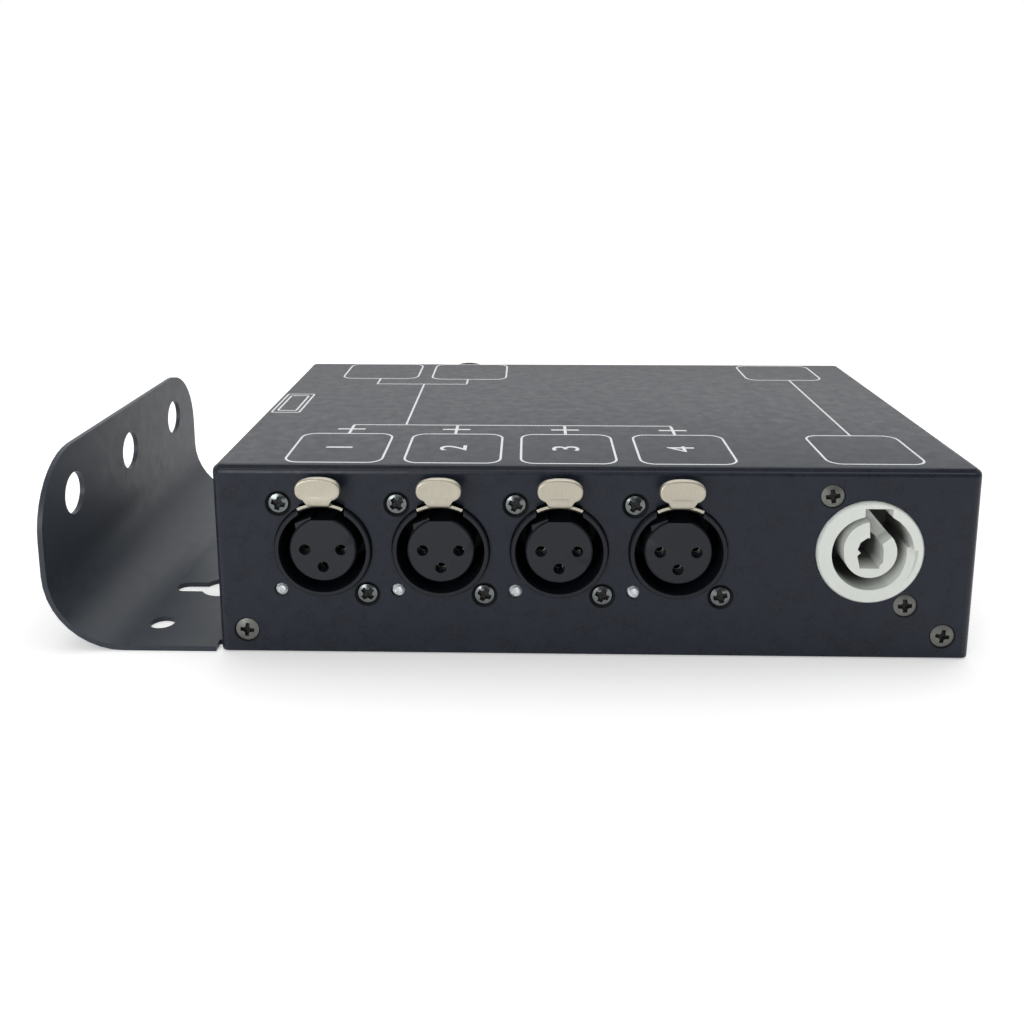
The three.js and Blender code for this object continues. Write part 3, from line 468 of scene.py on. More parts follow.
def softenFolds(mesh, values):
    # draws the lid's folds wider, in from the walls and down from the lid
    wide, deep, top = (corner / mm for corner in coverHigh)
    fold, corner, more = values["fold"], values["corner"], values["softer"]
    for vert in mesh.vertices:
        x, y, z = vert.co / mm
        if z < top - fold - 0.01:
            continue
        inner = Vector((math.copysign(wide - corner, x), math.copysign(deep - corner, y)))
        offset = Vector((x, y)) - inner
        if abs(x) > wide - corner and abs(y) > deep - corner:
            inset = corner - offset.length
            spot = inner + offset.normalized() * (corner - inset * more)
        elif wide - abs(x) < deep - abs(y):
            inset = wide - abs(x)
            spot = Vector((math.copysign(wide - inset * more, x), y))
        else:
            inset = deep - abs(y)
            spot = Vector((x, math.copysign(deep - inset * more, y)))
        if inset < fold + 0.01:
            vert.co = Vector((spot.x, spot.y, top - (top - z) * more)) * mm


def archSlots(mesh, values):
    # the flat top of each latch slot follows the lever's curve
    half, slack = values["slotHalf"], 0.05
    work = openMesh(mesh)
    for name in femaleNames:
        middle = roundMiddle(name + "_insert")

        def onTop(vert):
            x, y, z = (vert.co - middle) / mm
            return abs(x) < half + slack and abs(z - values["slotTop"]) < slack and abs(y) < 1
        tops = [edge for edge in work.edges if all(onTop(vert) for vert in edge.verts)
                and abs(edge.verts[0].co.x - edge.verts[1].co.x) > half * mm]
        bmesh.ops.subdivide_edges(work, edges=tops, cuts=values["archCuts"], use_grid_fill=True)
        for vert in filter(onTop, work.verts):
            vert.co.z = middle.z + math.sqrt((values["arch"] * mm) ** 2 - (vert.co.x - middle.x) ** 2)
    closeMesh(work, mesh)


def closeCorner(mesh, values):
    # the front wall keeps its full depth at the bracket's corner too
    left, right = values["cornerAcross"]
    for vert in mesh.vertices:
        x, y, z = vert.co / mm
        if left < x < right and y < values["cornerDepth"] and abs(z - values["footCut"]) < 0.05:
            vert.co.z = values["foot"] * mm
    work = openMesh(mesh)
    bmesh.ops.remove_doubles(work, verts=work.verts, dist=weld)
    bmesh.ops.dissolve_degenerate(work, edges=work.edges, dist=weld)
    closeMesh(work, mesh)


def widenRims(mesh, values):
    # each sunk rim round a screw or lamp opens to its own width
    for hole, middle in sunkHoles:
        outer = hole["reach"][1]
        for vert in mesh.vertices:
            offset = (vert.co - middle) / mm
            reach = math.hypot(offset.x, offset.z)
            onFace = abs(offset.y) < 1 and abs(abs(vert.co.y) / mm - values["face"]) < 0.01
            if onFace and outer - 0.4 < reach < outer:
                vert.co.x += offset.x * mm * (hole["rim"] / reach - 1)
                vert.co.z += offset.z * mm * (hole["rim"] / reach - 1)


def refillPanels(mesh, values):
    # both skins of the front and rear panels are filled again between their new outlines
    work = openMesh(mesh)
    work.normal_update()
    inner = 2 * values["panel"] - values["face"]
    for level in (-values["face"], -inner, inner, values["face"]):
        flat = [face for face in work.faces if abs(face.normal.y) > 0.999
                and abs(face.calc_center_median().y / mm - level) < 0.02]
        rim = {edge for face in flat for edge in face.edges
               if sum(other in flat for other in edge.link_faces) == 1}
        bmesh.ops.delete(work, geom=flat, context="FACES_KEEP_BOUNDARY")
        rim = [edge for edge in rim if edge.is_valid]
        filled = bmesh.ops.triangle_fill(work, edges=rim, use_beauty=True, use_dissolve=False, normal=(0, 1, 0))
        edges = [item for item in filled["geom"] if isinstance(item, bmesh.types.BMEdge)]
        bmesh.ops.dissolve_limit(work, angle_limit=flatAngle, verts=[], edges=edges)
    bmesh.ops.recalc_face_normals(work, faces=work.faces)
    closeMesh(work, mesh)


def makeCover(values):
    mesh = mergedMesh("top_cover", "coverSheet")
    for hole, middle in sunkHoles:
        roundOut(mesh, middle, hole["sides"], hole["reach"], 2)
    sides = values["ringSides"]
    for name in (*femaleNames, "input"):
        roundOut(mesh, roundMiddle(name + "_insert"), sides, values["noseReach"], 2)
    for node in ("mains_outlet", "mains_inlet"):
        x, _, z = boxOf(node)[2]
        roundOut(mesh, (x, roundMiddle(node).y, z), sides, values["mainsReach"], 2)
    for change in (archSlots, softenFolds, closeCorner, widenRims, refillPanels):
        change(mesh, values)
    dressMesh("coverSheet", mesh, paints["coverPaint"], ["top_cover"], edge=0.15)

    # the sunk rims get a near-black finish, painted shade
    mesh.materials.append(paints["paintedDeepShade"])
    for hole, middle in sunkHoles:
        for face in mesh.polygons:
            offset = (face.center - middle) / mm
            if abs(offset.y) < 1 and abs(face.normal.y) < 0.98 and math.hypot(offset.x, offset.z) < hole["rim"]:
                face.material_index = 1


makeCover(coverForm)

baseHoles = {
    "clamp": {"axis": (1, 0, 0), "sides": 20, "reach": (4.5, 5.2), "at": [(-34.8, 31), (-1.6, 31), (31.6, 31)]},
    "screw": {"axis": (0, 0, 1), "sides": 10, "reach": (2.7, 3.1), "at": [(-100.1, -40.5), (-100.1, 37.3)]},
    "keyhole": {"axis": (0, 0, 1), "sides": 10, "reach": (4.6, 5.3), "at": [(-91.6, -21.4), (-91.6, 18.2)]},
    "keySlot": {"axis": (0, 0, 1), "sides": 10, "reach": (2.3, 2.6), "at": [(-100.8, -21.4), (-100.8, 18.2)]},
}
baseMesh = mergedMesh("base_plate", "baseAndBracket")
for hole in baseHoles.values():
    for first, second in hole["at"]:
        centre = (0, first, second) if hole["axis"][0] else (first, second, 0)
        roundOut(baseMesh, Vector(centre) * mm, hole["sides"], hole["reach"], axis=hole["axis"])
dressMesh("baseAndBracket", baseMesh, paints["basePaint"], ["base_plate"], edge=0.2)
print("sheet metal done")


# Drawing printed on the lid

lidPrint = {
    "line": 0.5, "tickLine": 0.85, "sink": 0.03, "proud": 0.008, "corner": 3.2, "cornerSteps": 8,
    "digitHeight": 6.2, "capShare": 0.7,
    # left, right and how far the near and far sides lie behind the front edge
    "frames": [(-67.8, -46.4, 2.7, 24.7), (-41.5, -20.3, 2.7, 24.7), (-15.8, 5.2, 2.7, 24.7),
               (10.4, 31.4, 2.7, 24.7), (51.1, 72.3, 3.5, 25.0), (-69.4, -47.2, 82.0, 101.4),
               (-42.9, -20.9, 81.4, 101.4), (50.2, 71.9, 81.7, 100.8)],
    "squareFrames": [(-80.8, -73.6, 43.6, 62.8), (-79.6, -74.8, 45.4, 61.0)],
    "digits": {"1": -57.1, "2": -30.9, "3": -5.3, "4": 20.9}, "digitDepth": 13.7,
    # across, the near and far ends, and the width
    "stubs": [(-57.2, 24.7, 32.2, 0.7), (-31.6, 24.7, 32.2, 0.7), (-5.3, 24.7, 32.2, 0.7),
              (20.7, 24.7, 32.2, 0.7), (-44.4, 32.6, 75.0, 0.5), (-58.0, 75.4, 82.0, 0.5),
              (-32.1, 75.4, 81.4, 0.5), (62.2, 25.0, 81.7, 0.5)],
    "ticks": (-57.2, -31.6, -5.3, 20.7), "tickDepth": 28.6, "tickLength": 6.7,
    "rails": [(-57.42, 20.92, 32.4), (-58.22, -31.88, 75.2)],
}


def roundedLoop(x0, x1, y0, y1, radius, steps, z):
    points = []
    corners = [(x1 - radius, y0 + radius, -90), (x1 - radius, y1 - radius, 0),
               (x0 + radius, y1 - radius, 90), (x0 + radius, y0 + radius, 180)]
    for x, y, start in corners:
        for i in range(steps + 1):
            angle = math.radians(start + 90 * i / steps)
            points.append((x + radius * math.cos(angle), y + radius * math.sin(angle), z))
    return points


def digitMesh(text, size, low, high):
    curve = bpy.data.curves.new("digit", "FONT")
    curve.body = text
    curve.size = size
    curve.align_x, curve.align_y = "CENTER", "CENTER"
    curve.extrude = (high - low) / 2
    mesh = bakedMesh(linkObject("digit", curve))
    mesh.transform(Matrix.Translation((0, 0, (low + high) / 2)) @ Matrix.Rotation(math.pi / 2, 4, "Z"))
    return mesh


def makeLidPrint(values):
    front, top = coverLow[1] / mm, coverHigh[2] / mm
    low, high = top - values["sink"], top + values["proud"]
    half = values["line"] / 2
    parts = []

    def addFrame(x0, x1, near, far, radius, steps):
        rows = [roundedLoop(x0 + inset, x1 - inset, front + near + inset, front + far - inset, radius - inset,
                            steps, z) for inset, z in ((-half, low), (-half, high), (half, high), (half, low))]
        parts.append(meshFromRows("printFrame", rows, wrap=True))

    def addBar(x0, x1, near, far):
        corners = [(x0, front + near), (x1, front + near), (x1, front + far), (x0, front + far)]
        parts.append(meshFromRows("bar", [[(x, y, z) for x, y in corners] for z in (low, high)]))

    for sides in values["frames"]:
        addFrame(*sides, values["corner"], values["cornerSteps"])
    for sides in values["squareFrames"]:
        addFrame(*sides, values["line"], 2)
    for x, near, far, line in values["stubs"]:
        addBar(x - line / 2, x + line / 2, near + half, far - half)
    bold, stub = values["tickLine"] / 2, values["stubs"][0][3] / 2
    for x in values["ticks"]:
        for side in (-1, 1):
            ends = sorted((x + side * stub, x + side * values["tickLength"] / 2))
            addBar(*ends, values["tickDepth"] - bold, values["tickDepth"] + bold)
    for x0, x1, depth in values["rails"]:
        addBar(x0, x1, depth - half, depth + half)
    for text, x in values["digits"].items():
        digit = digitMesh(text, values["digitHeight"] / values["capShare"], low, high)
        digit.transform(Matrix.Translation((x, front + values["digitDepth"], 0)))
        parts.append(digit)
    mesh = joinMeshes("lidPrint", parts)
    mesh.transform(Matrix.Scale(mm, 4))
    work = openMesh(mesh)
    bmesh.ops.remove_doubles(work, verts=work.verts, dist=weld / 2)
    bmesh.ops.recalc_face_normals(work, faces=work.faces)
    return closeMesh(work, mesh)


dressMesh("lidPrint", makeLidPrint(lidPrint), paints["printInk"], angle=0)
print("lid print done")


# Sockets for the control line

def socketPlace(name):
    # carries a piece drawn in millimetres round a socket's middle to its place on the panel
    middle = roundMiddle(name + "_insert")
    rear = middle.y > 0
    middle.y = coverHigh[1] if rear else coverLow[1]
    return Matrix.Translation(middle) @ Matrix.Rotation(math.pi if rear else 0, 4, "Z") @ Matrix.Scale(mm, 4)


socketRings = {"sides": 28, "nose": (10.2, 10.7), "bore": (9.4, 9.7), "insert": (6.9, 7.4),
               "cavity": (8.0, 8.2), "flangeDepth": 0.9, "flangeReach": 10.8}
insertFlat = {"half": 2.45, "low": 6.3, "high": 6.9, "fill": 0.7}


def socketMesh(name, part, bands):
    mesh = mergedMesh(f"{name}_{part}", f"{name}_{part}")
    centre = socketPlace(name).translation
    for band in bands:
        roundOut(mesh, centre, socketRings["sides"], socketRings[band])
    return mesh


def dressHousing(name, bands):
    # the flange behind the panel is seen only down the screw holes; its faces get a near-black finish, painted
    # deep shade
    mesh = socketMesh(name, "housing", bands)
    dressMesh(name + "Shell", mesh, paints["socketPlastic"], [name + "_housing"], edge=0.15)
    mesh.materials.append(paints["paintedDeepShade"])
    away = socketPlace(name).inverted()
    for face in mesh.polygons:
        middle = away @ face.center
        reach = math.hypot(middle.x, middle.z)
        if middle.y > socketRings["flangeDepth"] and reach > socketRings["flangeReach"]:
            face.material_index = 1


def makeInsert(name):
    # the key slot over the contacts is drawn as the shallow flat that shows
    mesh = socketMesh(name, "insert", ["insert"])
    place = socketPlace(name)
    away = place.inverted()
    for vert in mesh.vertices:
        spot = away @ vert.co
        if abs(spot.x) < insertFlat["half"] and insertFlat["low"] < spot.z < insertFlat["high"]:
            spot.z += insertFlat["fill"] * (insertFlat["high"] - spot.z)
            vert.co = place @ spot
    dressMesh(name + "ContactBlock", mesh, paints["insertPlastic"], [name + "_insert"],
              edge=0.15)


for name in femaleNames:
    dressHousing(name, ["nose", "bore"])
    makeInsert(name)
dressHousing("input", ["nose", "cavity"])
inputBlock = mergedMesh("input_insert", "inputBlock")
dressMesh("inputBlock", inputBlock, paints["insertPlastic"], ["input_insert"], edge=0.1)


# Pins of the input, each with a rounded tip

contacts = {"circle": 7.94, "angles": [180, 0, 270]}
contactSpots = [(contacts["circle"] / 2 * math.cos(math.radians(degrees)),
                 contacts["circle"] / 2 * math.sin(math.radians(degrees))) for degrees in contacts["angles"]]
inputPins = {"radius": 1.175, "tip": 3.0, "back": 16.8, "tipSteps": 6, "point": 0.35, "tipRise": 0.8}


def makePin(values):
    radius, tip, point = values["radius"], values["tip"], values["point"]
    profile = [(radius * point, tip)]
    for i in range(1, values["tipSteps"] + 1):
        angle = math.pi / 2 * i / values["tipSteps"]
        profile.append((radius * (point + (1 - point) * math.sin(angle)),
                        tip + radius * values["tipRise"] * (1 - math.cos(angle))))
    return turnedMesh("pin", profile + backEdge(values), 28)


for i, (x, z) in enumerate(contactSpots):
    pin = makePin(inputPins)
    pin.transform(socketPlace("input") @ Matrix.Translation((x, 0, z)))
    dressMesh(f"inputPin{i + 1}", pin, paints["silver"], [f"input_pin_{i + 1}"], angle=50)
print("line sockets done")


# Latches, each a cast tab and neck on a curved lever

latchShape = {
    "tabWidth": 9.7, "tabFoot": 12.2, "tabTop": 17.55, "tabFront": -4.3, "tabBack": -2.8, "tabEdge": 0.42,
    "backEdge": 0.25, "topSquareness": 2.35, "footSquareness": 2.7, "dish": 0.09, "dishReach": 1.9,
    "points": 64, "edgeSteps": 5,
    # how far forward and up the neck's outer face lies, and the share of its flare there
    "neckLine": [(-4.0, 14.4, 1.5), (-4.25, 13.4, 1.4), (-4.32, 12.6, 1.0), (-4.3, 12.1, 0.5), (-4.15, 11.6, 0.12),
                 (-3.8, 11.2, 0.0), (-3.2, 10.92, 0.1), (-2.6, 10.78, 0.3), (-1.85, 10.7, 0.5)],
    "neckWidth": 4.7, "neckFlare": 0.7, "neckThickness": 0.6, "leverInner": 10.0, "leverOuter": 10.4,
    "leverWidth": 9.4, "leverFront": -2.0, "leverSteps": 16, "lip": (10.6, 11.3), "lipDepth": (1.1, 0.9),
    "pivotBack": 5.6, "pivotUp": 11.1, "barrel": 1.1, "pin": 0.8, "pinReach": 1.2, "paintedShadeFrom": -1.7,
}


def tabRow(values, inset, y):
    # a flattened oval whose foot is squarer than its crown
    half = values["tabWidth"] / 2 - inset
    middle = (values["tabFoot"] + values["tabTop"]) / 2
    rise = (values["tabTop"] - values["tabFoot"]) / 2 - inset
    row = []
    for angle in roundTurn(values["points"]):
        power = 2 / (values["topSquareness"] if math.sin(angle) >= 0 else values["footSquareness"])
        x = half * math.copysign(abs(math.cos(angle)) ** power, math.cos(angle))
        z = rise * math.copysign(abs(math.sin(angle)) ** power, math.sin(angle))
        row.append((x, y, middle + z))
    return row


def makeTab(values):
    front, back, edge, steps = (values[key] for key in ("tabFront", "tabBack", "tabEdge", "edgeSteps"))
    rows = [tabRow(values, values["backEdge"], back), tabRow(values, 0.0, back - values["backEdge"])]
    for i in range(steps + 1):
        angle = math.pi / 2 * i / steps
        rows.append(tabRow(values, edge * (1 - math.cos(angle)), front + edge * (1 - math.sin(angle))))
    for i in range(1, steps + 1):
        share = i / steps
        sink = values["dish"] * math.sin(math.pi / 2 * share)
        rows.append(tabRow(values, edge + values["dishReach"] * share, front + sink))
    return meshFromRows("tab", rows)


def makeNeck(values):
    # a bent strip from behind the tab's foot down and back over the lever's front edge
    width, flare = values["neckWidth"] / 2, values["neckFlare"]
    rows = []
    line = values["neckLine"]
    for before, (y, z, spread), after in zip([line[0], *line], line, [*line[1:], line[-1]]):
        run = Vector((after[0] - before[0], after[1] - before[1])).normalized() * values["neckThickness"]
        half = width + flare * spread
        back = (y - run.y, z + run.x)
        rows.append([(-half, y, z), (half, y, z), (half, *back), (-half, *back)])
    return meshFromRows("neck", rows)


def makeLever(values):
    # an arched plate whose front edge turns up into a lip
    spread = math.asin(values["leverWidth"] / 2 / values["leverOuter"])
    inner, outer = values["leverInner"], values["leverOuter"]
    front, steps = values["leverFront"], values["leverSteps"]
    lip, depth = values["lip"], values["lipDepth"]
    profile = [(lip[0], front), (lip[1], front), (outer, front + depth[0]), (outer, values["pivotBack"]),
               (inner, values["pivotBack"]), (inner, front + depth[1])]
    turns = [-spread + 2 * spread * i / steps for i in range(steps + 1)]
    rows = [[(radius * math.sin(angle), y, radius * math.cos(angle)) for radius, y in profile] for angle in turns]
    return meshFromRows("lever", rows)


def makeRod(values, radius, half):
    y, z = values["pivotBack"], values["pivotUp"]
    return meshFromRows("rod", [[(x, y + radius * math.cos(angle), z + radius * math.sin(angle))
                                 for angle in roundTurn(24)] for x in (-half, half)])


def makeLatch(name, values):
    half = values["leverWidth"] / 2
    return joinMeshes(name, [makeTab(values), makeNeck(values), makeLever(values),
                             makeRod(values, values["barrel"], half),
                             makeRod(values, values["pin"], half + values["pinReach"])])


def paintLatchShade(mesh, values):
    # painted shade: what lies behind the panel and the back of the tab get the darker nickel
    for face in mesh.polygons:
        if face.center.y > values["paintedShadeFrom"] or (face.normal.y > 0.5 and face.center.z > values["tabFoot"]):
            face.material_index = 1


for name in femaleNames:
    latchMesh = makeLatch(name + "Latch", latchShape)
    latchMesh.materials.append(paints["latchNickel"])
    latchMesh.materials.append(paints["shadedNickel"])
    paintLatchShade(latchMesh, latchShape)
    latchMesh.transform(socketPlace(name))
    dressMesh(name + "Latch", latchMesh, None, [name + "_latch"], angle=38, edge=0.12)
print("latches done")


# Screws: one node tree for every size, each screw turned by chance

def growPiece(name, tree, places, values):
    # runs a node tree over loose points that know which way is out, and keeps a plain mesh
    mesh = bpy.data.meshes.new(name + "Places")
    mesh.from_pydata([place for place, outward in places], [], [])
    attribute = mesh.attributes.new("outward", "FLOAT_VECTOR", "POINT")
    for i, (place, outward) in enumerate(places):
        attribute.data[i].vector = outward
    holder = linkObject(name + "Places", mesh)
    modifier = holder.modifiers.new("grow", "NODES")
    modifier.node_group = tree
    sockets = {item.name: item.identifier for item in tree.interface.items_tree if item.in_out == "INPUT"}
    for label, value in values.items():
        modifier[sockets[label]] = value
    grown = bakedMesh(holder)
    grown.name = name
    return grown


def inMetres(sizes):
    return {label: size * mm for label, size in sizes.items()}


def storedValue(tree, name, kind):
    return addNode(tree, "GeometryNodeInputNamedAttribute", {"Name": name}, data_type=kind).outputs["Attribute"]


def placeOnPoints(tree, points, body, seed):
    # stands the body on each point with its own z along outward, turned about it by chance
    outward = storedValue(tree, "outward", "FLOAT_VECTOR")
    aligned = outputOf(tree, "FunctionNodeAlignRotationToVector", {"Vector": outward}, axis="Z")
    chance = addNode(tree, "FunctionNodeRandomValue", {"Min": 0.0, "Max": 2 * math.pi, "Seed": seed},
                     data_type="FLOAT")
    spin = outputOf(tree, "FunctionNodeAxisAngleToRotation",
                    {"Axis": (0, 0, 1), "Angle": openSocket(chance.outputs, "Value")})
    turned = outputOf(tree, "FunctionNodeRotateRotation", {"Rotation": aligned, "Rotate By": spin},
                      rotation_space="LOCAL")
    dots = outputOf(tree, "GeometryNodeMeshToPoints", {"Mesh": points})
    placed = outputOf(tree, "GeometryNodeInstanceOnPoints",
                      {"Points": dots, "Instance": body, "Rotation": turned})
    return outputOf(tree, "GeometryNodeRealizeInstances", {"Geometry": placed})


def moved(tree, geometry, offset):
    return outputOf(tree, "GeometryNodeTransform", {"Geometry": geometry, "Translation": offset})


screwSizes = {"Head Diameter": 4.4, "Dome Height": 0.4, "Cone Height": 1.0, "Shank Diameter": 2.5,
              "Shank Length": 5.0, "Recess Length": 4.2, "Recess Width": 1.1, "Recess Depth": 0.9}
# shares of those sizes, and two depths in millimetres
screwForm = {"conePart": 0.25, "armFoot": (0.55, 0.75, 1.0), "pointTop": 0.95, "pointFoot": 0.25,
             "pointDepth": 1.3, "pointSink": -1.15, "recessReach": 0.46, "recessFloor": 0.98,
             "skin": 0.03, "overlap": 0.02}


def makeScrewTree():
    given = {"Geometry": None, **inMetres(screwSizes), "Turn Seed": 1, "Finish": "paint",
             "Recess Shade Finish": "paint"}
    tree, given = newTree("crossHeadScrew", "GeometryNodeTree", given, {"Geometry": None})
    position = outputOf(tree, "GeometryNodeInputPosition")
    x, y, z = separate(tree, position)
    headRadius = times(tree, given["Head Diameter"], 0.5)
    shankRadius = times(tree, given["Shank Diameter"], 0.5)
    radial = lengthOf(tree, combine(tree, x, y))
    share = mathNode(tree, "DIVIDE", radial, headRadius)
    fall = mathNode(tree, "POWER", share, 2.0)
    rise = times(tree, mathNode(tree, "SUBTRACT", 1.0, fall), given["Dome Height"])

    # head: a disc whose top is domed and whose foot is drawn in to the shank
    head = outputOf(tree, "GeometryNodeMeshCylinder",
                    {"Vertices": 40, "Side Segments": 1, "Fill Segments": 5, "Radius": headRadius,
                     "Depth": given["Cone Height"]}, fill_type="TRIANGLE_FAN")
    domed = combine(tree, x, y, rise)
    above = mathNode(tree, "GREATER_THAN", z, 0.0)
    head = outputOf(tree, "GeometryNodeSetPosition", {"Geometry": head, "Selection": above, "Position": domed})
    draw = mathNode(tree, "DIVIDE", shankRadius, headRadius)
    foot = times(tree, given["Cone Height"], -1.0)
    drawn = combine(tree, times(tree, x, draw), times(tree, y, draw), foot)
    below = mathNode(tree, "LESS_THAN", z, times(tree, foot, screwForm["conePart"]))
    head = outputOf(tree, "GeometryNodeSetPosition", {"Geometry": head, "Selection": below, "Position": drawn})

    # recess: two arms that narrow as they go in, and a deeper point between them
    tall = times(tree, given["Recess Depth"], 2.0)
    armSize = combine(tree, given["Recess Length"], given["Recess Width"], tall)
    arm = outputOf(tree, "GeometryNodeMeshCube", {"Size": armSize})
    narrow = outputOf(tree, "ShaderNodeVectorMath", {0: position, 1: screwForm["armFoot"]}, operation="MULTIPLY")
    under = mathNode(tree, "LESS_THAN", z, 0.0)
    arm = outputOf(tree, "GeometryNodeSetPosition", {"Geometry": arm, "Selection": under, "Position": narrow})
    arm = moved(tree, arm, combine(tree, z=given["Dome Height"]))
    crossArm = outputOf(tree, "GeometryNodeTransform", {"Geometry": arm, "Rotation": (0, 0, math.pi / 2)})
    point = outputOf(tree, "GeometryNodeMeshCone",
                     {"Vertices": 16, "Radius Top": times(tree, given["Recess Width"], screwForm["pointTop"]),
                      "Radius Bottom": times(tree, given["Recess Width"], screwForm["pointFoot"]),
                      "Depth": times(tree, given["Recess Depth"], screwForm["pointDepth"])})
    sink = mathNode(tree, "MULTIPLY_ADD", given["Recess Depth"], screwForm["pointSink"], given["Dome Height"])
    point = moved(tree, point, combine(tree, z=sink))
    carve = addNode(tree, "GeometryNodeMeshBoolean", {"Mesh 1": head, "Mesh 2": arm}, operation="DIFFERENCE",
                    solver="EXACT")
    tree.links.new(crossArm, carve.inputs["Mesh 2"])
    tree.links.new(point, carve.inputs["Mesh 2"])

    # the recess keeps its own darker finish, painted shade
    inside = mathNode(tree, "LESS_THAN", z, mathNode(tree, "SUBTRACT", rise, screwForm["skin"] * mm))
    near = mathNode(tree, "LESS_THAN", radial, times(tree, given["Recess Length"], screwForm["recessReach"]))
    higher = mathNode(tree, "GREATER_THAN", z, times(tree, foot, screwForm["recessFloor"]))
    marked = times(tree, times(tree, inside, near), higher)
    marks = outputOf(tree, "GeometryNodeStoreNamedAttribute",
                     {"Geometry": carve.outputs["Mesh"], "Name": "recess", "Value": marked},
                     data_type="BOOLEAN", domain="FACE")

    shank = outputOf(tree, "GeometryNodeMeshCylinder",
                     {"Vertices": 20, "Radius": shankRadius, "Depth": given["Shank Length"]})
    reach = mathNode(tree, "MULTIPLY_ADD", given["Shank Length"], -0.5, foot)
    shank = moved(tree, shank, combine(tree, z=mathNode(tree, "ADD", reach, screwForm["overlap"] * mm)))
    whole = addNode(tree, "GeometryNodeJoinGeometry", {"Geometry": shank})
    tree.links.new(marks, whole.inputs["Geometry"])
    screws = placeOnPoints(tree, given["Geometry"], whole.outputs[0], given["Turn Seed"])
    dressed = outputOf(tree, "GeometryNodeSetMaterial", {"Geometry": screws, "Material": given["Finish"]})
    recess = storedValue(tree, "recess", "BOOLEAN")
    dressed = outputOf(tree, "GeometryNodeSetMaterial",
                       {"Geometry": dressed, "Selection": recess, "Material": given["Recess Shade Finish"]})
    return endTree(tree, Geometry=dressed)


screwTree = makeScrewTree()
screwKinds = {
    "socketScrews": {"hole": "socket", "finish": "brightZinc", "slot": "zinc", "seed": 4,
                     "sizes": {"Head Diameter": 4.25, "Shank Length": 7.0, "Recess Length": 4.3,
                               "Recess Width": 1.3}},
    "mainsScrews": {"hole": "mains", "finish": "dullZinc", "slot": "grey_zinc", "seed": 9,
                    "sizes": {"Head Diameter": 4.95, "Shank Diameter": 2.9, "Shank Length": 3.6,
                              "Recess Width": 1.15}},
    "coverScrews": {"hole": "cover", "finish": "dullZinc", "slot": "grey_zinc", "seed": 2,
                    "sizes": {"Head Diameter": 5.1, "Shank Diameter": 2.9, "Recess Width": 1.05}},
}
headSink = 0.25 * mm
for name, kind in screwKinds.items():
    nodes = panelHoles[kind["hole"]]["nodes"]
    places = []
    for node in nodes:
        low, high, (x, y, z) = boxOf(node)
        side = math.copysign(1, y)
        y = high[1] - headSink if side > 0 else low[1] + headSink
        places.append(((x, y, z), (0, side, 0)))
    screwMesh = growPiece(name, screwTree, places, {
        **inMetres(kind["sizes"]), "Turn Seed": kind["seed"], "Finish": paints[kind["finish"]],
        "Recess Shade Finish": paints["recessShade"]})
    dressMesh(name, screwMesh, None, nodes, angle=30)
print("screws done")


# Spring contacts inside the female sockets

contactSleeves = {"sizes": {"Diameter": 2.3, "Wall": 0.22, "Length": 7.0}, "sink": 2.4, "slit": 0.7, "seed": 3}


def makeSleeveTree(values):
    given = {"Geometry": None, **inMetres(values["sizes"]), "Slit Angle": values["slit"],
             "Turn Seed": values["seed"], "Finish": "paint"}
    tree, given = newTree("contactSleeve", "GeometryNodeTree", given, {"Geometry": None})
    middle = times(tree, mathNode(tree, "SUBTRACT", given["Diameter"], given["Wall"]), 0.5)
    sweep = mathNode(tree, "SUBTRACT", 2 * math.pi, given["Slit Angle"])
    arc = addNode(tree, "GeometryNodeCurveArc", {"Resolution": 20, "Radius": middle, "Sweep Angle": sweep})
    wall = addNode(tree, "GeometryNodeCurvePrimitiveQuadrilateral",
                   {"Width": given["Wall"], "Height": given["Length"]})
    sleeve = outputOf(tree, "GeometryNodeCurveToMesh",
                      {"Curve": arc.outputs["Curve"], "Profile Curve": wall.outputs[0], "Fill Caps": True})
    sleeve = moved(tree, sleeve, combine(tree, z=times(tree, given["Length"], -0.5)))
    sleeves = placeOnPoints(tree, given["Geometry"], sleeve, given["Turn Seed"])
    dressed = outputOf(tree, "GeometryNodeSetMaterial", {"Geometry": sleeves, "Material": given["Finish"]})
    return endTree(tree, Geometry=dressed)


sleevePlaces = []
for name in femaleNames:
    place = socketPlace(name)
    outward = (0, 1, 0) if name == "thru" else (0, -1, 0)
    for x, z in contactSpots:
        sleevePlaces.append((place @ Vector((x, contactSleeves["sink"], z)), outward))
sleeveTree = makeSleeveTree(contactSleeves)
sleeveMesh = growPiece("contactSleeves", sleeveTree, sleevePlaces, {"Finish": paints["silver"]})
dressMesh("contactSleeves", sleeveMesh, None, angle=40)
print("contacts done")


# Mains sockets

mainsRings = {"sides": 28, "bands": [(11.0, 11.5), (8.2, 8.5), (9.9, 10.1)]}
for node, name, finish, slotName in (("mains_outlet", "mainsOutlet", "palePlastic", "pale_plastic"),
                                     ("mains_inlet", "mainsInlet", "bluePlastic", "blue_plastic")):
    x, _, z = boxOf(node)[2]
    mesh = mergedMesh(node, name)
    for band in mainsRings["bands"]:
        roundOut(mesh, (x, 0, z), mainsRings["sides"], band)
    dressMesh(name, mesh, paints[finish], [node], edge=0.2)
print("mains sockets done")


# Indicator lamps: a clear domed lens with a pale cup inside

lampShape = {"radius": 1.45, "proud": 0.9, "back": 6.0, "domeSteps": 8, "cupHighlightShift": (0.24, 0, 0.24),
             # radius and depth of the bright dish in the lens, from its middle out over its rim and back
             "cup": [(0.15, 0.55), (0.36, 0.35), (0.64, 0.0), (0.72, 0.05), (0.75, 0.55), (1.1, 0.7), (1.1, 1.6)]}
clearLens = newMaterial("clearLens", linear(244, 247, 248), 0.22, IOR=1.45, **{"Transmission Weight": 1.0})[0]


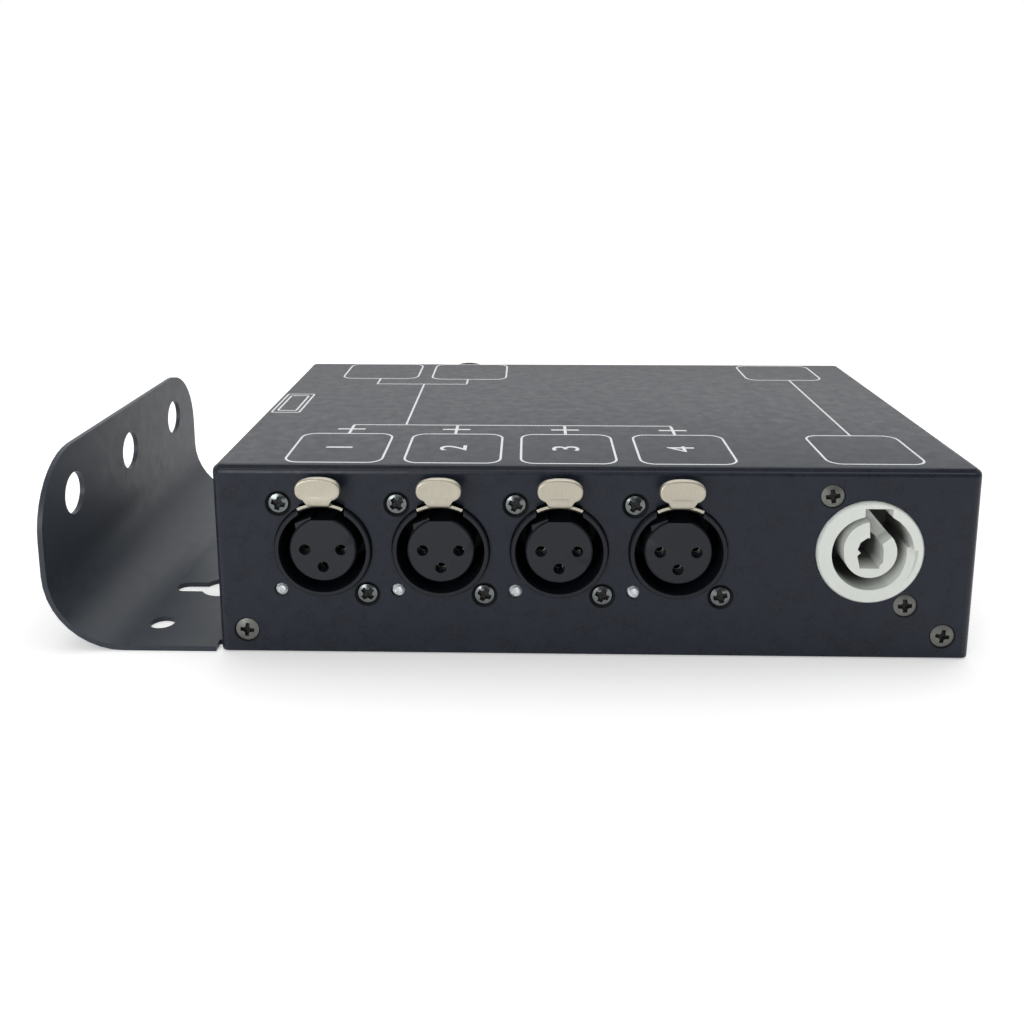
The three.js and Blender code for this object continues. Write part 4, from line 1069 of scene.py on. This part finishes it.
def makeLens(values):
    radius, proud = values["radius"], values["proud"]
    profile = []
    for i in range(values["domeSteps"] + 1):
        angle = math.pi / 2 * i / values["domeSteps"]
        profile.append((max(radius * math.sin(angle), 0.02), radius - proud - radius * math.cos(angle)))
    return turnedMesh("lens", profile + backEdge(values), 28)


for name in outputNames:
    _, high, middle = boxOf(name + "_lamp")
    middle = (middle[0], coverLow[1], high[2] - lampShape["radius"] * mm)
    place = Matrix.Translation(middle) @ Matrix.Scale(mm, 4)
    lens, cup = makeLens(lampShape), turnedMesh("cup", lampShape["cup"], 24)
    # the pale cup stands for the lamp's inner dish; its shift up and to the right places a painted highlight
    cup.transform(Matrix.Translation(lampShape["cupHighlightShift"]))
    for mesh in (lens, cup):
        mesh.transform(place)
    dressMesh(name + "Lens", lens, clearLens, [name + "_lamp"], angle=50)
    dressMesh(name + "LensCup", cup, paints["lampCup"], angle=50)
print("lamps done")


# Pieces that keep their CAD mesh

keptNodes = {
    "circuit_board": ("boardLacquer", "board_lacquer"),
    "power_converter": ("socketPlastic", "black_plastic"),
    "mains_link": ("socketPlastic", "black_plastic"),
}
for node in numbered("board_pillar_{}", 4):
    keptNodes[node] = ("nylon", "nylon")
for name in femaleNames:
    keptNodes[name + "_latch_spring"] = ("silver", "silver_metal")
for node, (finish, slotName) in keptNodes.items():
    obj = frame["nodes"][node]
    obj.data.materials.clear()
    obj.data.materials.append(paints[finish])
print("inner pieces done")


# Floor, light and camera

studio = {"floorHalf": 4.0, "floorColor": 0.86, "lift": (0.36, 0.6), "liftReach": (0.5, 3.0),
          "depthLevel": (0.12, 1.3), "depthSpan": (-0.6, 0.4), "horizonLevel": (0.45, 1.0),
          "horizonSpan": (0.16, 0.31), "fillShare": 0.85, "aim": (0, 0, 0.02)}


def makeFloor():
    size = studio["floorHalf"]
    corners = [(-size, -size, 0), (size, -size, 0), (size, size, 0), (-size, size, 0)]
    mesh = bpy.data.meshes.new("floor")
    mesh.from_pydata(corners, [], [(0, 1, 2, 3)])
    floor = linkObject("floor", mesh)
    material, tree, shader = newMaterial("floorPaper", (studio["floorColor"],) * 3, 0.9, **{
        "Specular IOR Level": 0.1, "Emission Color": (1, 1, 1, 1)})
    path = addNode(tree, "ShaderNodeLightPath").outputs
    seen = mathNode(tree, "MAXIMUM", path["Is Camera Ray"], path["Is Transmission Ray"])
    seen = mathNode(tree, "MAXIMUM", seen, path["Is Glossy Ray"])
    away = lengthOf(tree, objectPlace(tree))
    rise = mapRange(tree, away, *studio["liftReach"], *studio["lift"], interpolation_type="SMOOTHSTEP")
    lift = times(tree, seen, rise)
    tree.links.new(lift, shader.inputs["Emission Strength"])
    mesh.materials.append(material)


makeFloor()

# the room is bright behind and above the box and darker behind the camera
world = bpy.data.worlds.new("studio")
scene.world = world
world.use_nodes = True
tree = world.node_tree
direction = addNode(tree, "ShaderNodeTexCoord").outputs["Generated"]
_, depth, height = separate(tree, direction)
room = mapRange(tree, depth, *studio["depthSpan"], *studio["depthLevel"], interpolation_type="SMOOTHSTEP")
low = mapRange(tree, height, *studio["horizonSpan"], *studio["horizonLevel"])
room = times(tree, room, low)
path = addNode(tree, "ShaderNodeLightPath").outputs
reflected = mathNode(tree, "MAXIMUM", path["Is Glossy Ray"], path["Is Transmission Ray"])
share = mapRange(tree, reflected, 0.0, 1.0, studio["fillShare"], 1.0)
level = times(tree, room, share)
level = outputOf(tree, "ShaderNodeMix", {0: path["Is Camera Ray"], 2: level, 3: 1.0}, data_type="FLOAT")
sky = tree.nodes["Background"]
sky.inputs["Color"].default_value = (1, 1, 1, 1)
tree.links.new(level, sky.inputs["Strength"])

softBoxes = {
    "frontStrip": {"at": (-0.6, -1.6, 0.75), "size": (2.2, 0.5), "power": 4.0},
    "frontTop": {"at": (0.0, -0.8, 1.1), "size": (1.6, 0.7), "power": 2.4},
    "leftLow": {"at": (-0.75, -1.25, 0.25), "size": (0.7, 0.4), "power": 6.5},
    "overhead": {"at": (0.1, 0.3, 1.2), "size": (1.4, 1.0), "power": 4.5},
}
for name, box in softBoxes.items():
    lamp = bpy.data.lights.new(name, "AREA")
    lamp.shape = "RECTANGLE"
    lamp.size, lamp.size_y = box["size"]
    lamp.energy = box["power"]
    lampObject = linkObject(name, lamp)
    lampObject.location = box["at"]
    lampObject.rotation_euler = (Vector(studio["aim"]) - lampObject.location).to_track_quat("-Z", "Y").to_euler()

camera = {"at": (-14.06, -255.8, 111.3), "yaw": -1.40, "pitch": -10.49, "roll": -0.09, "lens": 34.91,
          "shift": (0.0065, -0.178)}
cameraData = bpy.data.cameras.new("photoView")
cameraData.sensor_width = 36
cameraData.lens = camera["lens"]
cameraData.shift_x, cameraData.shift_y = camera["shift"]
cameraData.clip_start = 0.01
cameraData.clip_end = 50
cameraObject = linkObject("photoView", cameraData)
turn = (Matrix.Rotation(math.radians(-camera["yaw"]), 4, "Z")
        @ Matrix.Rotation(math.radians(90 + camera["pitch"]), 4, "X")
        @ Matrix.Rotation(math.radians(camera["roll"]), 4, "Z"))
cameraObject.matrix_world = Matrix.Translation(Vector(camera["at"]) * mm) @ turn
scene.camera = cameraObject
scene.view_settings.view_transform = "Standard"
print("stage ready")
